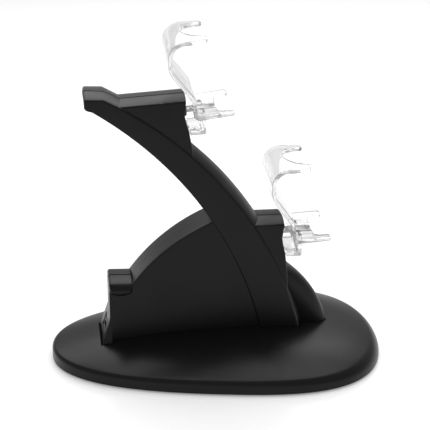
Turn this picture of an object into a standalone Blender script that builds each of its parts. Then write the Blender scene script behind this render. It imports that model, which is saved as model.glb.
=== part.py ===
"""Charging station for two game controllers.

A curved stand in two moulded halves rises from a domed base. Each of its two heads holds a
clear C-shaped bracket and a plug. Run it with: blender --background --python part.py

The frame: +X is the side the controllers face, +Z is up, and Y = 0 is the plane where the two
halves of the stand meet. The origin is on the table, under the middle of the base.
"""
import math

import bmesh
import bpy
from mathutils import Vector

MM = 0.001

# Clearances
GAP = 0.3 * MM
SEAM = 0.3 * MM

# Base: an egg-shaped dome with a short upright side
BASE_HALF_LENGTH = 97.5 * MM
BASE_HALF_WIDTH = 60.7 * MM
BASE_FRONT_FULLNESS = 15.6 * MM
BASE_END_FULLNESS = 10.8 * MM
BASE_SIDES = 60
BASE_EDGE_HEIGHT = 7.9 * MM
BASE_DOME_RISE = 11.8 * MM
BASE_EDGE_RADIUS = 2.1 * MM
BASE_FRONT_EDGE_RADIUS = 5.6 * MM
BASE_SKIRT_BOTTOM = 1.0 * MM
BASE_WALL = 1.8 * MM
TRAY_BOTTOM = 1.2 * MM
TRAY_THICKNESS = 2.0 * MM

# Feet under the base
FOOT_RADIUS = 6.5 * MM
FOOT_THICKNESS = 1.5 * MM
FOOT_RECESS_CEILING = FOOT_THICKNESS + GAP
REAR_FOOT_AT = (23.5 * MM - BASE_HALF_LENGTH, 20 * MM)
FRONT_FOOT_AT = (BASE_HALF_LENGTH - 37.5 * MM, 42 * MM)

# Screws
SCREW_HEAD_RADIUS = 2.6 * MM
SCREW_HEAD_HEIGHT = 0.9 * MM
SCREW_SHANK_RADIUS = 1.0 * MM
SCREW_LENGTH = 8.0 * MM
BOSS_RADIUS = 3.2 * MM
REAR_TRAY_SCREW_AT = (47.5 * MM - BASE_HALF_LENGTH, 36 * MM)
FRONT_TRAY_SCREW_AT = (BASE_HALF_LENGTH - 20.5 * MM, 25 * MM)
REAR_STAND_SCREW_X = -38 * MM
FRONT_STAND_SCREW_X = 36 * MM
STAND_SCREW_Y = 7.0 * MM
STAND_BOSS_HEIGHT = 12 * MM

# Stand: the curved arm, which runs from the nose down to the base
STAND_WALL = 2.2 * MM
ARM_HALF_WIDTH = 13.6 * MM
ARM_EDGE_RADIUS = 0.9 * MM
ARM_CROWN = 3.8 * MM
ARM_FRONT_CENTRE = (-166.4 * MM, -32.0 * MM)
ARM_FRONT_RADIUS = 220.0 * MM
ARM_REAR_CENTRE = (-189.6 * MM, -28.7 * MM)
ARM_REAR_RADIUS = 219.6 * MM
NOSE_REAR = -74.7 * MM
NOSE_TOP = 163.1 * MM
NOSE_FLAT = 10.4 * MM
NOSE_HEIGHT = 6.1 * MM
NOSE_RADIUS = 1.5 * MM

# Heads: the blocks on the arm that carry the brackets
HEAD_HALF_WIDTH = 12.6 * MM
HEAD_EDGE_RADIUS = 0.8 * MM
HEAD_CROWN = 1.4 * MM
LIP_RADIUS = 1.0 * MM
HEAD_DEPTH = 50.0 * MM
UPPER_HEAD_AT = (-17.9 * MM, 160.1 * MM)
UPPER_HEAD_TILT = 3.4
UPPER_SHELF = 36.4 * MM
LOWER_HEAD_AT = (38.8 * MM, 83.8 * MM)
LOWER_HEAD_TILT = 0.0
LOWER_SHELF = 15.6 * MM

# Rear fairing, with its post, thumb ledge and flared foot
FAIRING_HALF_WIDTH = 12.8 * MM
FAIRING_EDGE_RADIUS = 0.7 * MM
FAIRING_CENTRE = (41.0 * MM, -16.3 * MM)
FAIRING_RADIUS = 112.6 * MM
POST_REAR = -63.5 * MM
POST_FRONT = -50.4 * MM
POST_TOP = 49.6 * MM
LEDGE_HALF_WIDTH = 13.8 * MM
LEDGE_DEPTH = 7.8 * MM
LEDGE_END_RADIUS = 3.6 * MM
LEDGE_BELLY = 2.4 * MM
LEDGE_RISE = 0.4 * MM
LEDGE_REAR = POST_REAR
LEDGE_FRONT = POST_FRONT + 0.6 * MM
FLARE_TOP = 28.4 * MM
FLARE_BOTTOM = 13.4 * MM
FLARE_REACH = 4.8 * MM
FLARE_HALF_WIDTH = 15.0 * MM

# Toe: the rounded fin in front of the arm
TOE_CENTRE = (5.9 * MM, 4.3 * MM)
TOE_RADIUS = 61.6 * MM
TOE_RISE = 0.856
TOE_HALF_WIDTH = 6.6 * MM

# Foot of the stand, which drops through the base cover on to the tray
PLINTH_TOP = 11.6 * MM
PLINTH_STEP = 0.1 * MM
PLINTH_BOTTOM = TRAY_BOTTOM + TRAY_THICKNESS + GAP
ARM_FOOT_TOP = 16.6 * MM
BURIED = 2.0 * MM

# Clear bracket, in the head's own frame: x forward and z up from the head's front top edge
BRACKET_HALF_WIDTH = 21.5 * MM
BRACKET_THICKNESS = 2.5 * MM
FORK_REACH = 13.6 * MM
FORK_HEIGHT = 36.7 * MM
FORK_DROOP = 1.3 * MM
FORK_NOTCH_HALF_WIDTH = 13.6 * MM
FORK_NOTCH_DEPTH = 13.2 * MM
FORK_CORNER_RADIUS = 4.0 * MM
BRACKET_BACK = -7.8 * MM
FORK_OVER_WAIST = 17.2 * MM
BRACKET_WAIST = FORK_HEIGHT - FORK_OVER_WAIST
PRONG_REACH = 26.0 * MM
PRONG_HEIGHT = -8.2 * MM
PRONG_RISE = 1.5 * MM
PRONG_GAP_HALF_WIDTH = 14.0 * MM
PRONG_ROOT = 17.4 * MM
TAIL_HALF_WIDTH = 12.3 * MM
TAIL_FRONT = 10.3 * MM
TAIL_BOTTOM = -20.4 * MM
TONGUE_HALF_WIDTH = 9.0 * MM
TONGUE_REACH = 5.4 * MM
HOOK_HEIGHT = 5.5 * MM

# Plug, in the head's own frame
PLUG_HEIGHT = -8.4 * MM
PLUG_WIDTH = 6.85 * MM
PLUG_THICKNESS = 1.85 * MM
PLUG_TIP = 17.0 * MM
PLUG_ROOT = 6.0 * MM
PLUG_WALL = 0.3 * MM
PLUG_MOUTH_DEPTH = 6.0 * MM
PLUG_BODY_WIDTH = 9.8 * MM
PLUG_BODY_HEIGHT = 5.6 * MM
PLUG_BODY_FRONT = 9.0 * MM
PLUG_BODY_REAR = -10.0 * MM

# Circuit boards and lamps
BOARD_THICKNESS = 1.2 * MM
BOARD_HALF_WIDTH = 9.4 * MM
CHARGE_BOARD_FRONT = -3.4 * MM
CHARGE_BOARD_LENGTH = 15.0 * MM
LAMP_WIDTH = 2.8 * MM
LAMP_LENGTH = 1.9 * MM
LAMP_HEIGHT = 1.6 * MM

# Power inlet, in the frame of the flared foot's rear face: x into the stand
INLET_RECESS_HALF_WIDTH = 7.0 * MM
INLET_RECESS_HALF_HEIGHT = 4.6 * MM
INLET_RECESS_DEPTH = 5.0 * MM
INLET_FLOOR = 3.0 * MM
INLET_WIDTH = 7.7 * MM
INLET_HEIGHT = 3.9 * MM
INLET_STAND_PROUD = 1.2 * MM
INLET_LENGTH = 10.0 * MM
INLET_WALL = 0.4 * MM
INLET_BOARD_LENGTH = 14.0 * MM

# Leads inside the stand
LEAD_RADIUS = 1.1 * MM
LEAD_OFFSET = 2.2 * MM
LEAD_RUN = 12 * MM
LEAD_BEND = 5 * MM
LOWER_LEAD_AT = (-10 * MM, 28 * MM)
UPPER_LEAD_AT = (-8 * MM, 34 * MM)
UPPER_LEAD_STATIONS = (8 * MM, 0, -10 * MM, -20 * MM, -30 * MM)

BLACK = (0.012, 0.012, 0.013, 1.0)
DARK_RUBBER = (0.02, 0.02, 0.02, 1.0)
CLEAR = (0.92, 0.94, 0.95, 1.0)
STEEL = (0.62, 0.62, 0.60, 1.0)
BOARD_GREEN = (0.02, 0.16, 0.06, 1.0)
LAMP_WHITE = (0.9, 0.9, 0.85, 1.0)

# The exact solver leaves open edges where the lofted masses of the stand meet
STAND_SOLVER = "MANIFOLD"
STAND_COLLECTION = "controller_charging_station"
CUTTER_COLLECTION = "cutters"


# Scene and materials

def clear_scene():
    for item in list(bpy.data.objects):
        bpy.data.objects.remove(item, do_unlink=True)


def collection(name):
    found = bpy.data.collections.get(name)
    if found is None:
        found = bpy.data.collections.new(name)
        bpy.context.scene.collection.children.link(found)
    return found


def material(name, colour, roughness, metallic=0.0, transmission=0.0):
    made = bpy.data.materials.new(name)
    made.use_nodes = True
    shader = made.node_tree.nodes["Principled BSDF"]
    shader.inputs["Base Color"].default_value = colour
    shader.inputs["Roughness"].default_value = roughness
    shader.inputs["Metallic"].default_value = metallic
    shader.inputs["Transmission Weight"].default_value = transmission
    return made


def place_for(name, at, tilt):
    """An empty at a point (x, z) of the middle plane, its front tilted up by tilt degrees."""
    empty = bpy.data.objects.new(name, None)
    collection(STAND_COLLECTION).objects.link(empty)
    empty.location = (at[0], 0, at[1])
    empty.rotation_euler.y = -math.radians(tilt)
    return empty


# Outlines

def arc(centre, radius, start, end, count):
    """Points on an arc, from one angle to another in radians."""
    steps = [start + (end - start) * i / count for i in range(count + 1)]
    return [(centre[0] + radius * math.cos(a), centre[1] + radius * math.sin(a)) for a in steps]


def circle_height(centre, radius, x):
    """Height of the top of a circle at x."""
    return centre[1] + math.sqrt(radius ** 2 - (x - centre[0]) ** 2)


def circle_reach(centre, radius, z):
    """Front of a circle at the height z."""
    return centre[0] + math.sqrt(radius ** 2 - (z - centre[1]) ** 2)


def arc_between(centre, radius, first, last, count):
    """Points on a circle from the point nearest first to the one nearest last."""
    start = math.atan2(first[1] - centre[1], first[0] - centre[0])
    end = math.atan2(last[1] - centre[1], last[0] - centre[0])
    return arc(centre, radius, start, end, count)


def rounded_path(corners, step=math.radians(18)):
    """An open path through corners (x, z, radius), each turned on its own radius."""
    path = []
    for i, (x, z, radius) in enumerate(corners):
        here = Vector((x, z))
        if radius == 0:
            path.append((x, z))
            continue
        back = (Vector(corners[i - 1][:2]) - here).normalized()
        ahead = (Vector(corners[(i + 1) % len(corners)][:2]) - here).normalized()
        half = back.angle(ahead) / 2
        centre = here + (back + ahead).normalized() * radius / math.sin(half)
        first = here + back * radius / math.tan(half) - centre
        last = here + ahead * radius / math.tan(half) - centre
        turn = math.atan2(first.x * last.y - first.y * last.x, first.dot(last))
        start = math.atan2(first.y, first.x)
        count = max(2, round(abs(turn) / step))
        path += arc(centre, radius, start, start + turn, count)
    return path


def signed_area(points):
    total = 0
    for i, here in enumerate(points):
        after = points[(i + 1) % len(points)]
        total += here[0] * after[1] - after[0] * here[1]
    return total / 2


def moved_outline(points, distances):
    """The outline with each corner moved in by its own distance, square to the sides beside it."""
    turn = 1 if signed_area(points) > 0 else -1
    moved = []
    for i, here in enumerate(points):
        before = Vector(here) - Vector(points[i - 1])
        after = Vector(points[(i + 1) % len(points)]) - Vector(here)
        n1 = Vector((before.y, -before.x)).normalized() * turn
        n2 = Vector((after.y, -after.x)).normalized() * turn
        out = (n1 + n2) / max(0.3, 1 + n1.dot(n2))
        moved.append(tuple(Vector(here) - out * distances[i]))
    return moved


# Mesh makers

def mesh_object(name, build, hidden=False):
    """A new object whose mesh is filled by build(bmesh), with its faces turned outwards."""
    mesh = bpy.data.meshes.new(name)
    shape = bmesh.new()
    build(shape)
    bmesh.ops.recalc_face_normals(shape, faces=shape.faces)
    shape.to_mesh(mesh)
    shape.free()
    made = bpy.data.objects.new(name, mesh)
    collection(CUTTER_COLLECTION if hidden else STAND_COLLECTION).objects.link(made)
    if hidden:
        made.hide_render = True
        made.display_type = "WIRE"
    return made


def loft(name, rings, hidden=False):
    """A closed body through rings of equal count, capped at both ends."""
    def build(shape):
        rows = [[shape.verts.new(point) for point in ring] for ring in rings]
        count = len(rows[0])
        for low, high in zip(rows, rows[1:]):
            for i in range(count):
                j = (i + 1) % count
                shape.faces.new((low[i], low[j], high[j], high[i]))
        shape.faces.new(list(reversed(rows[0])))
        shape.faces.new(rows[-1])
        shape.normal_update()
        bmesh.ops.triangulate(shape, faces=shape.faces)
    return mesh_object(name, build, hidden)


def side_slices(half_width, edge_radius, crowned):
    """Places across Y, each with how far the outline is drawn in there by the rounded edge."""
    turns = [math.radians(a) for a in (90, 45, 0)]
    edge = [(half_width - edge_radius * (1 - math.sin(a)), edge_radius * (1 - math.cos(a))) for a in turns]
    inner = [((half_width - edge_radius) * share, 0.0) for share in (0.66, 0.33)] if crowned else []
    half = edge + inner
    middle = [(0.0, 0.0)] if crowned else []
    return [(-y, d) for y, d in half] + middle + [(y, d) for y, d in reversed(half)]


def slab(name, outline, half_width, edge_radius, crown=0.0, hidden=True):
    """A body of one side outline (x, z, share of the crown), with rounded side edges.

    The crown lifts the middle of the points that share it.
    """
    flat = [(x, z) for x, z, share in outline]
    rings = []
    for y, drawn_in in side_slices(half_width, edge_radius, crown > 0):
        lift = crown * (1 - (y / half_width) ** 2)
        distances = [drawn_in - share * lift for x, z, share in outline]
        rings.append([(x, y, z) for x, z in moved_outline(flat, distances)])
    return loft(name, rings, hidden)


def plate(name, outline, half_width):
    """A body of one side outline (x, z), with square side edges."""
    return loft(name, [[(x, y, z) for x, z in outline] for y in (-half_width, half_width)], hidden=True)


def hollow(name, outline, half_width, wall):
    """The space that leaves a wall of one thickness inside a slab of that outline."""
    flat = [(x, z) for x, z, share in outline]
    inner = moved_outline(flat, [wall] * len(flat))
    reach = half_width - wall
    return loft(name, [[(x, y, z) for x, z in inner] for y in (-reach, reach)], hidden=True)


def prism(name, outline, low, high, hidden=True):
    """An upright body of one plan outline (x, y) between two heights."""
    return loft(name, [[(x, y, z) for x, y in outline] for z in (low, high)], hidden)


def block(name, low, high, hidden=True):
    """A box between two opposite corners."""
    def build(shape):
        bmesh.ops.create_cube(shape, size=1.0)
        for vert in shape.verts:
            share = [c + 0.5 for c in vert.co]
            vert.co = [a + (b - a) * s for a, b, s in zip(low, high, share)]
    return mesh_object(name, build, hidden)


def post(name, at, radius, low, high, sides=14, hidden=True):
    """An upright cylinder at (x, y)."""
    def build(shape):
        bmesh.ops.create_cone(shape, cap_ends=True, segments=sides, radius1=radius, radius2=radius,
                              depth=high - low)
        bmesh.ops.translate(shape, verts=shape.verts, vec=(at[0], at[1], (low + high) / 2))
    return mesh_object(name, build, hidden)


def boolean(target, other, operation, solver):
    step = target.modifiers.new(other.name, "BOOLEAN")
    step.operation = operation
    step.object = other
    step.solver = solver


def join(target, *others, solver="EXACT"):
    for other in others:
        boolean(target, other, "UNION", solver)


def cut(target, *others, solver="EXACT"):
    for other in others:
        boolean(target, other, "DIFFERENCE", solver)


def soften(target, width, segments=2, angle=40):
    """Round the edges that turn more than an angle, before any cut."""
    step = target.modifiers.new("edges", "BEVEL")
    step.width = width
    step.segments = segments
    step.limit_method = "ANGLE"
    step.angle_limit = math.radians(angle)
    step.harden_normals = False


def finish_piece(made, look, place=None):
    made.data.materials.clear()
    made.data.materials.append(look)
    if place is not None:
        made.parent = place
    return made


# Base

def plan_half_width(x):
    """Half the width of the base at x."""
    u = max(-1.0, min(1.0, x / BASE_HALF_LENGTH))
    fullness = BASE_HALF_WIDTH + BASE_FRONT_FULLNESS * u + BASE_END_FULLNESS * u * u
    return fullness * (1 - abs(u) ** 2.2) ** 0.475


def plan_outline():
    """The base seen from above, as points (x, y) counted from the front tip."""
    points = []
    for i in range(BASE_SIDES):
        a = 2 * math.pi * i / BASE_SIDES
        x = BASE_HALF_LENGTH * math.cos(a)
        y = math.copysign(plan_half_width(x), math.sin(a)) if 0 < i != BASE_SIDES // 2 else 0.0
        points.append((x, y))
    return points


def dome_height(x, y, share):
    """Height of the base's top at a share of the way out from the middle to the rim."""
    fullness = 2.6 + 0.5 * x / max(math.hypot(x, y), MM)
    return BASE_EDGE_HEIGHT + BASE_DOME_RISE * (1 - share ** fullness)


def edge_radius_at(x, y):
    """The rim is turned on a larger radius round the front of the base."""
    front = max(0.0, x / max(math.hypot(x, y), MM))
    return BASE_EDGE_RADIUS + (BASE_FRONT_EDGE_RADIUS - BASE_EDGE_RADIUS) * front ** 2


def base_top_at(x, y):
    """Height of the base's top over a point well inside its rim."""
    low, high = 0.0, 1.0
    for _ in range(40):
        share = (low + high) / 2
        outside = abs(x) > share * BASE_HALF_LENGTH or abs(y) > share * plan_half_width(x / share)
        low, high = (share, high) if outside else (low, share)
    return dome_height(x, y, high)


def base_rings():
    """Rings of the base's outer skin, from near the middle out and down to its lower edge."""
    outline = plan_outline()
    rings = []
    for share in (0.38, 0.66, 0.84):
        rings.append([(x * share, y * share, dome_height(x, y, share)) for x, y in outline])
    for turn in (0.0, 30.0, 60.0, 90.0):
        ring = []
        for x, y in outline:
            radius = edge_radius_at(x, y)
            inset = radius * (1 - math.sin(math.radians(turn)))
            share = 1 - inset / math.hypot(x, y)
            drop = radius * (1 - math.cos(math.radians(turn)))
            ring.append((x * share, y * share, dome_height(x, y, share) - drop))
        rings.append(ring)
    rings.append([(x, y, BASE_SKIRT_BOTTOM) for x, y in outline])
    return rings


def base_skin(shape):
    """The open outer skin of the base, for its wall to be given a thickness."""
    rows = [[shape.verts.new(point) for point in ring] for ring in base_rings()]
    middle = shape.verts.new((0, 0, BASE_EDGE_HEIGHT + BASE_DOME_RISE))
    for i in range(BASE_SIDES):
        j = (i + 1) % BASE_SIDES
        shape.faces.new((middle, rows[0][i], rows[0][j]))
        for inner, outer in zip(rows, rows[1:]):
            shape.faces.new((inner[i], outer[i], outer[j], inner[j]))


def mirrored(point):
    return [point, (point[0], -point[1])]


def tray_screw_places():
    return mirrored(REAR_TRAY_SCREW_AT) + mirrored(FRONT_TRAY_SCREW_AT)


def stand_screw_places():
    return mirrored((REAR_STAND_SCREW_X, STAND_SCREW_Y)) + mirrored((FRONT_STAND_SCREW_X, STAND_SCREW_Y))


def foot_places():
    return mirrored(REAR_FOOT_AT) + mirrored(FRONT_FOOT_AT)


def screw_hole_top():
    return TRAY_BOTTOM + SCREW_LENGTH + 2 * GAP


def make_base_cover(look):
    cover = mesh_object("base_cover", base_skin)
    wall = cover.modifiers.new("wall", "SOLIDIFY")
    wall.thickness = BASE_WALL
    wall.offset = -1
    for number, at in enumerate(tray_screw_places(), 1):
        top = base_top_at(*at) - BASE_WALL / 2
        join(cover, post(f"cover_boss_{number}", at, BOSS_RADIUS, PLINTH_BOTTOM, top))
        hole = post(f"cover_boss_hole_{number}", at, SCREW_SHANK_RADIUS + GAP, 0, screw_hole_top(), 10)
        cut(cover, hole)
    cut(cover, prism("stand_opening", footprint(PLINTH_STEP + GAP), 0, 60 * MM))
    return finish_piece(cover, look)


def make_base_tray(look):
    inset = BASE_WALL + GAP
    flat = plan_outline()
    outline = moved_outline(flat, [inset] * len(flat))
    top = TRAY_BOTTOM + TRAY_THICKNESS
    tray = prism("base_tray", outline, TRAY_BOTTOM, top, hidden=False)
    head_ceiling = TRAY_BOTTOM + SCREW_HEAD_HEIGHT + GAP
    for number, at in enumerate(tray_screw_places() + stand_screw_places(), 1):
        cut(tray, post(f"tray_head_recess_{number}", at, SCREW_HEAD_RADIUS + GAP, 0, head_ceiling))
        cut(tray, post(f"tray_hole_{number}", at, SCREW_SHANK_RADIUS + GAP, 0, 2 * top, 10))
    for number, at in enumerate(foot_places(), 1):
        cut(tray, post(f"foot_recess_{number}", at, FOOT_RADIUS + GAP, 0, FOOT_RECESS_CEILING, 20))
    return finish_piece(tray, look)


def make_feet(look):
    names = ("foot_rear_left", "foot_rear_right", "foot_front_left", "foot_front_right")
    for name, at in zip(names, foot_places()):
        foot = post(name, at, FOOT_RADIUS, 0, FOOT_THICKNESS, 20, hidden=False)
        finish_piece(foot, look)


def turned_screw(name, at):
    """A pan-head screw that stands head down under the tray, as a turned profile."""
    head = SCREW_HEAD_HEIGHT
    profile = [(0, SCREW_LENGTH), (SCREW_SHANK_RADIUS, SCREW_LENGTH - 1.2 * MM),
               (SCREW_SHANK_RADIUS, head), (SCREW_HEAD_RADIUS, head),
               (SCREW_HEAD_RADIUS * 0.8, 0), (0, 0)]
    mesh = bpy.data.meshes.new(name)
    edges = [(i, i + 1) for i in range(len(profile) - 1)]
    mesh.from_pydata([(r, 0, z) for r, z in profile], edges, [])
    screw = bpy.data.objects.new(name, mesh)
    collection(STAND_COLLECTION).objects.link(screw)
    screw.location = (at[0], at[1], TRAY_BOTTOM)
    turn = screw.modifiers.new("turn", "SCREW")
    turn.steps = 12
    turn.render_steps = 12
    turn.use_merge_vertices = True
    turn.merge_threshold = 0.00001
    turn.use_smooth_shade = True
    return screw


def make_screws(look):
    for number, at in enumerate(tray_screw_places(), 1):
        finish_piece(turned_screw(f"tray_screw_{number}", at), look)
    for number, at in enumerate(stand_screw_places(), 1):
        finish_piece(turned_screw(f"stand_screw_{number}", at), look)


# Stand

def footprint(grow):
    """Plan of the stand's foot, as points (x, y), grown by a clearance."""
    rear, flare_half = flare_size(PLINTH_TOP)
    arm_rear, arm_front = arm_foot()
    toe_front = circle_reach(TOE_CENTRE, TOE_RADIUS, ARM_FOOT_TOP)
    side = [(rear, -flare_half), (POST_REAR + STAND_WALL / 2, -flare_half),
            (POST_REAR + STAND_WALL / 2, -FAIRING_HALF_WIDTH), (arm_rear, -FAIRING_HALF_WIDTH),
            (arm_rear, -ARM_HALF_WIDTH), (arm_front, -ARM_HALF_WIDTH)]
    toe = toe_section(arm_front, toe_front, TOE_HALF_WIDTH)
    outline = side + toe + [(x, -y) for x, y in reversed(side)]
    return moved_outline(outline, [-grow] * len(outline))


def flare_size(z):
    """Rear face and half width of the flared foot at a height."""
    share = (FLARE_TOP - z) / (FLARE_TOP - FLARE_BOTTOM)
    half = FAIRING_HALF_WIDTH + (FLARE_HALF_WIDTH - FAIRING_HALF_WIDTH) * share
    return POST_REAR - FLARE_REACH * share, half


def arm_foot():
    """Rear and front of the arm where its sides turn straight down, just inside the base."""
    rear = circle_reach(ARM_REAR_CENTRE, ARM_REAR_RADIUS, ARM_FOOT_TOP)
    return rear, circle_reach(ARM_FRONT_CENTRE, ARM_FRONT_RADIUS, ARM_FOOT_TOP) + 0.4 * MM


def toe_section(root, front, half_width, steps=8):
    """Half an oval in plan, from the near side of its root round to the far side."""
    points = []
    for i in range(steps + 1):
        a = -math.pi / 2 + math.pi * i / steps
        x = root + (front - root) * max(math.cos(a), 0.0) ** 0.8
        points.append((x, half_width * math.sin(a)))
    return points


def arm_outline():
    """Side view of the arm: nose, front arc, foot, and rear arc, with shares of the crown."""
    slope_start = NOSE_REAR + NOSE_FLAT + 1.6 * MM
    front_first = (slope_start + 5.5 * MM, circle_height(ARM_FRONT_CENTRE, ARM_FRONT_RADIUS,
                                                        slope_start + 5.5 * MM))
    foot_rear, foot_front = arm_foot()
    front_last = (foot_front, ARM_FOOT_TOP)
    rear_first = (foot_rear, ARM_FOOT_TOP)
    rear_x = NOSE_REAR + 4.5 * MM
    rear_last = (rear_x, circle_height(ARM_REAR_CENTRE, ARM_REAR_RADIUS, rear_x))
    nose = rounded_path([(*rear_last, 0), (NOSE_REAR, NOSE_TOP - NOSE_HEIGHT, 2.6 * MM),
                         (NOSE_REAR, NOSE_TOP, NOSE_RADIUS), (slope_start - 1 * MM, NOSE_TOP - 0.4 * MM, 0)],
                        math.radians(30))[1:]
    front = arc_between(ARM_FRONT_CENTRE, ARM_FRONT_RADIUS, front_first, front_last, 13)
    rear = arc_between(ARM_REAR_CENTRE, ARM_REAR_RADIUS, rear_first, rear_last, 10)
    outline = [(x, z, 0.4 * min(1.0, max(0.0, (z - NOSE_TOP) / NOSE_RADIUS + 1))) for x, z in nose]
    outline += [(x, z, min(1.0, 0.45 + 0.1 * i)) for i, (x, z) in enumerate(front[:-1])]
    low = PLINTH_BOTTOM + BURIED
    outline += [(foot_front, ARM_FOOT_TOP, 0.0), (foot_front, low, 0.0), (foot_rear, low, 0.0)]
    outline += [(x, z, 0.0) for x, z in rear]
    return outline


def head_outline(shelf, lip=True):
    """Side view of a head in its own frame. It reaches on into the arm behind it."""
    front = [(3.2 * MM, -0.95 * HEAD_DEPTH), (1.5 * MM, -26 * MM), (0.6 * MM, -18 * MM),
             (-0.6 * MM, -13 * MM), (-1.3 * MM, -8 * MM)]
    if lip:
        front += arc((-LIP_RADIUS, -LIP_RADIUS), LIP_RADIUS, 0, math.pi / 2, 3)
    else:
        front.append((0.0, 0.0))
    top = [(-shelf / 2, 0.0), (-shelf - 3.8 * MM, 0.0)]
    inner = [(-shelf - 3.8 * MM, -6 * MM), (0.0, -HEAD_DEPTH - 2 * MM)]
    outline = [(x, z, max(0.0, z / LIP_RADIUS + 1)) for x, z in front]
    outline += [(x, z, 1.0) for x, z in top]
    outline += [(x, z, 0.0) for x, z in inner]
    return outline


def fairing_outline(rear, low, top_radius):
    """Side view of the fairing between the post and the arm."""
    join_x = 10 * MM
    first = (join_x, circle_height(FAIRING_CENTRE, top_radius, join_x))
    last = (POST_FRONT, circle_height(FAIRING_CENTRE, top_radius, POST_FRONT))
    roof = arc_between(FAIRING_CENTRE, top_radius, first, last, 12)
    shoulder = POST_TOP - LEDGE_DEPTH / 2
    rest = [(POST_FRONT, shoulder), (rear, shoulder), (rear, low), (30 * MM, low), (30 * MM, 40 * MM)]
    return [(x, z, 0.0) for x, z in roof + rest]


def ledge_outline():
    """Side view of the thumb ledge: a flat top with rounded ends and a belly below."""
    low = POST_TOP - LEDGE_DEPTH
    corners = [(LEDGE_REAR, low + LEDGE_BELLY, 2.0 * MM), ((LEDGE_REAR + LEDGE_FRONT) / 2, low, 6.0 * MM),
               (LEDGE_FRONT, low + LEDGE_BELLY, 2.0 * MM), (LEDGE_FRONT, POST_TOP, 0.7 * MM),
               (LEDGE_REAR, POST_TOP + LEDGE_RISE, 1.6 * MM)]
    return rounded_path(corners, math.radians(30))


def make_ledge():
    """The thumb ledge, whose outline shrinks towards its middle as its ends round off."""
    middle_x = (LEDGE_REAR + LEDGE_FRONT) / 2
    middle_z = POST_TOP - LEDGE_DEPTH / 2
    rings = []
    for y, drawn_in in side_slices(LEDGE_HALF_WIDTH, LEDGE_END_RADIUS, True):
        lift = HEAD_CROWN * (1 - (y / LEDGE_HALF_WIDTH) ** 2)
        narrow = 1 - drawn_in / (LEDGE_FRONT - LEDGE_REAR)
        low = 1 - drawn_in / (LEDGE_DEPTH / 2)
        ring = []
        for x, z in ledge_outline():
            share = (z - middle_z) / LEDGE_DEPTH + 0.5
            ring.append((middle_x + (x - middle_x) * narrow, y, middle_z + (z - middle_z) * low + lift * share))
        rings.append(ring)
    return loft("ledge", rings, True)


def make_flare():
    """The flared foot of the post, whose sloped rear face holds the inlet."""
    front = POST_REAR + STAND_WALL / 2
    rings = []
    for z in (PLINTH_TOP - GAP, FLARE_TOP):
        rear, half = flare_size(z)
        rings.append([(rear, -half, z), (front, -half, z), (front, half, z), (rear, half, z)])
    return loft("flare", rings, True)


def make_toe():
    """The toe as plan sections, straight up to the base's top and then leaning with its arc."""
    arm_front = arm_foot()[1]
    top = TOE_CENTRE[1] + TOE_RISE * TOE_RADIUS
    heights = [PLINTH_TOP - BURIED] + [ARM_FOOT_TOP + (top - ARM_FOOT_TOP) * i / 7 for i in range(8)]
    rings = []
    for z in heights:
        level = max(z, ARM_FOOT_TOP)
        share = (level - ARM_FOOT_TOP) / (top - ARM_FOOT_TOP)
        arm = circle_reach(ARM_FRONT_CENTRE, ARM_FRONT_RADIUS, level) + 0.4 * MM * (1 - share)
        root = min(arm, arm_front)
        front = max(circle_reach(TOE_CENTRE, TOE_RADIUS, level), root + 0.5 * MM)
        half = TOE_HALF_WIDTH * (1 + 0.5 * share)
        section = toe_section(root, front, half)
        inner = root - 8 * MM
        ring = [(inner, -half, z)] + [(x, y, z) for x, y in section] + [(inner, half, z)]
        rings.append(ring)
    return loft("toe", rings, True)


def stand_masses(places):
    """The outer forms that make up the stand with the arm."""
    masses = []
    for name, shelf, place in (("upper_head", UPPER_SHELF, places["upper"]),
                               ("lower_head", LOWER_SHELF, places["lower"])):
        head = slab(name, head_outline(shelf), HEAD_HALF_WIDTH, HEAD_EDGE_RADIUS, HEAD_CROWN)
        head.parent = place
        masses.append(head)
    fairing = fairing_outline(POST_REAR, PLINTH_BOTTOM + BURIED, FAIRING_RADIUS)
    masses.append(slab("fairing", fairing, FAIRING_HALF_WIDTH, FAIRING_EDGE_RADIUS))
    masses.append(make_ledge())
    masses.append(make_flare())
    masses.append(make_toe())
    masses.append(prism("plinth", footprint(PLINTH_STEP), PLINTH_BOTTOM, PLINTH_TOP))
    return masses


def stand_hollows(places):
    """The hollows that leave the stand's walls. They open into each other and downwards."""
    hollows = [hollow("arm_hollow", arm_hollow_outline(), ARM_HALF_WIDTH, STAND_WALL)]
    for name, shelf, place in (("upper_head_hollow", UPPER_SHELF, places["upper"]),
                               ("lower_head_hollow", LOWER_SHELF, places["lower"])):
        space = hollow(name, head_outline(shelf, lip=False), HEAD_HALF_WIDTH, STAND_WALL)
        space.parent = place
        hollows.append(space)
    fairing = fairing_outline(inlet_wall_front() - STAND_WALL, -10 * MM, FAIRING_RADIUS)
    hollows.append(hollow("fairing_hollow", fairing, FAIRING_HALF_WIDTH, STAND_WALL))
    return hollows


def arm_hollow_outline():
    """The two arcs of the arm from under its nose down, run on so that the hollow opens below."""
    low = -10 * MM
    foot_rear, foot_front = arm_foot()
    start = NOSE_REAR + NOSE_FLAT
    front_first = (start, circle_height(ARM_FRONT_CENTRE, ARM_FRONT_RADIUS, start))
    rear_last = (start, circle_height(ARM_REAR_CENTRE, ARM_REAR_RADIUS, start))
    front = arc_between(ARM_FRONT_CENTRE, ARM_FRONT_RADIUS, front_first, (foot_front, ARM_FOOT_TOP), 13)
    rear = arc_between(ARM_REAR_CENTRE, ARM_REAR_RADIUS, (foot_rear, ARM_FOOT_TOP), rear_last, 10)
    outline = front + [(foot_front, low), (foot_rear, low)] + rear
    return [(x, z, 0.0) for x, z in outline]


def inlet_wall_front():
    """Where the thick wall behind the inlet ends."""
    return POST_REAR + INLET_RECESS_DEPTH + INLET_FLOOR - FLARE_REACH / 2


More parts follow.
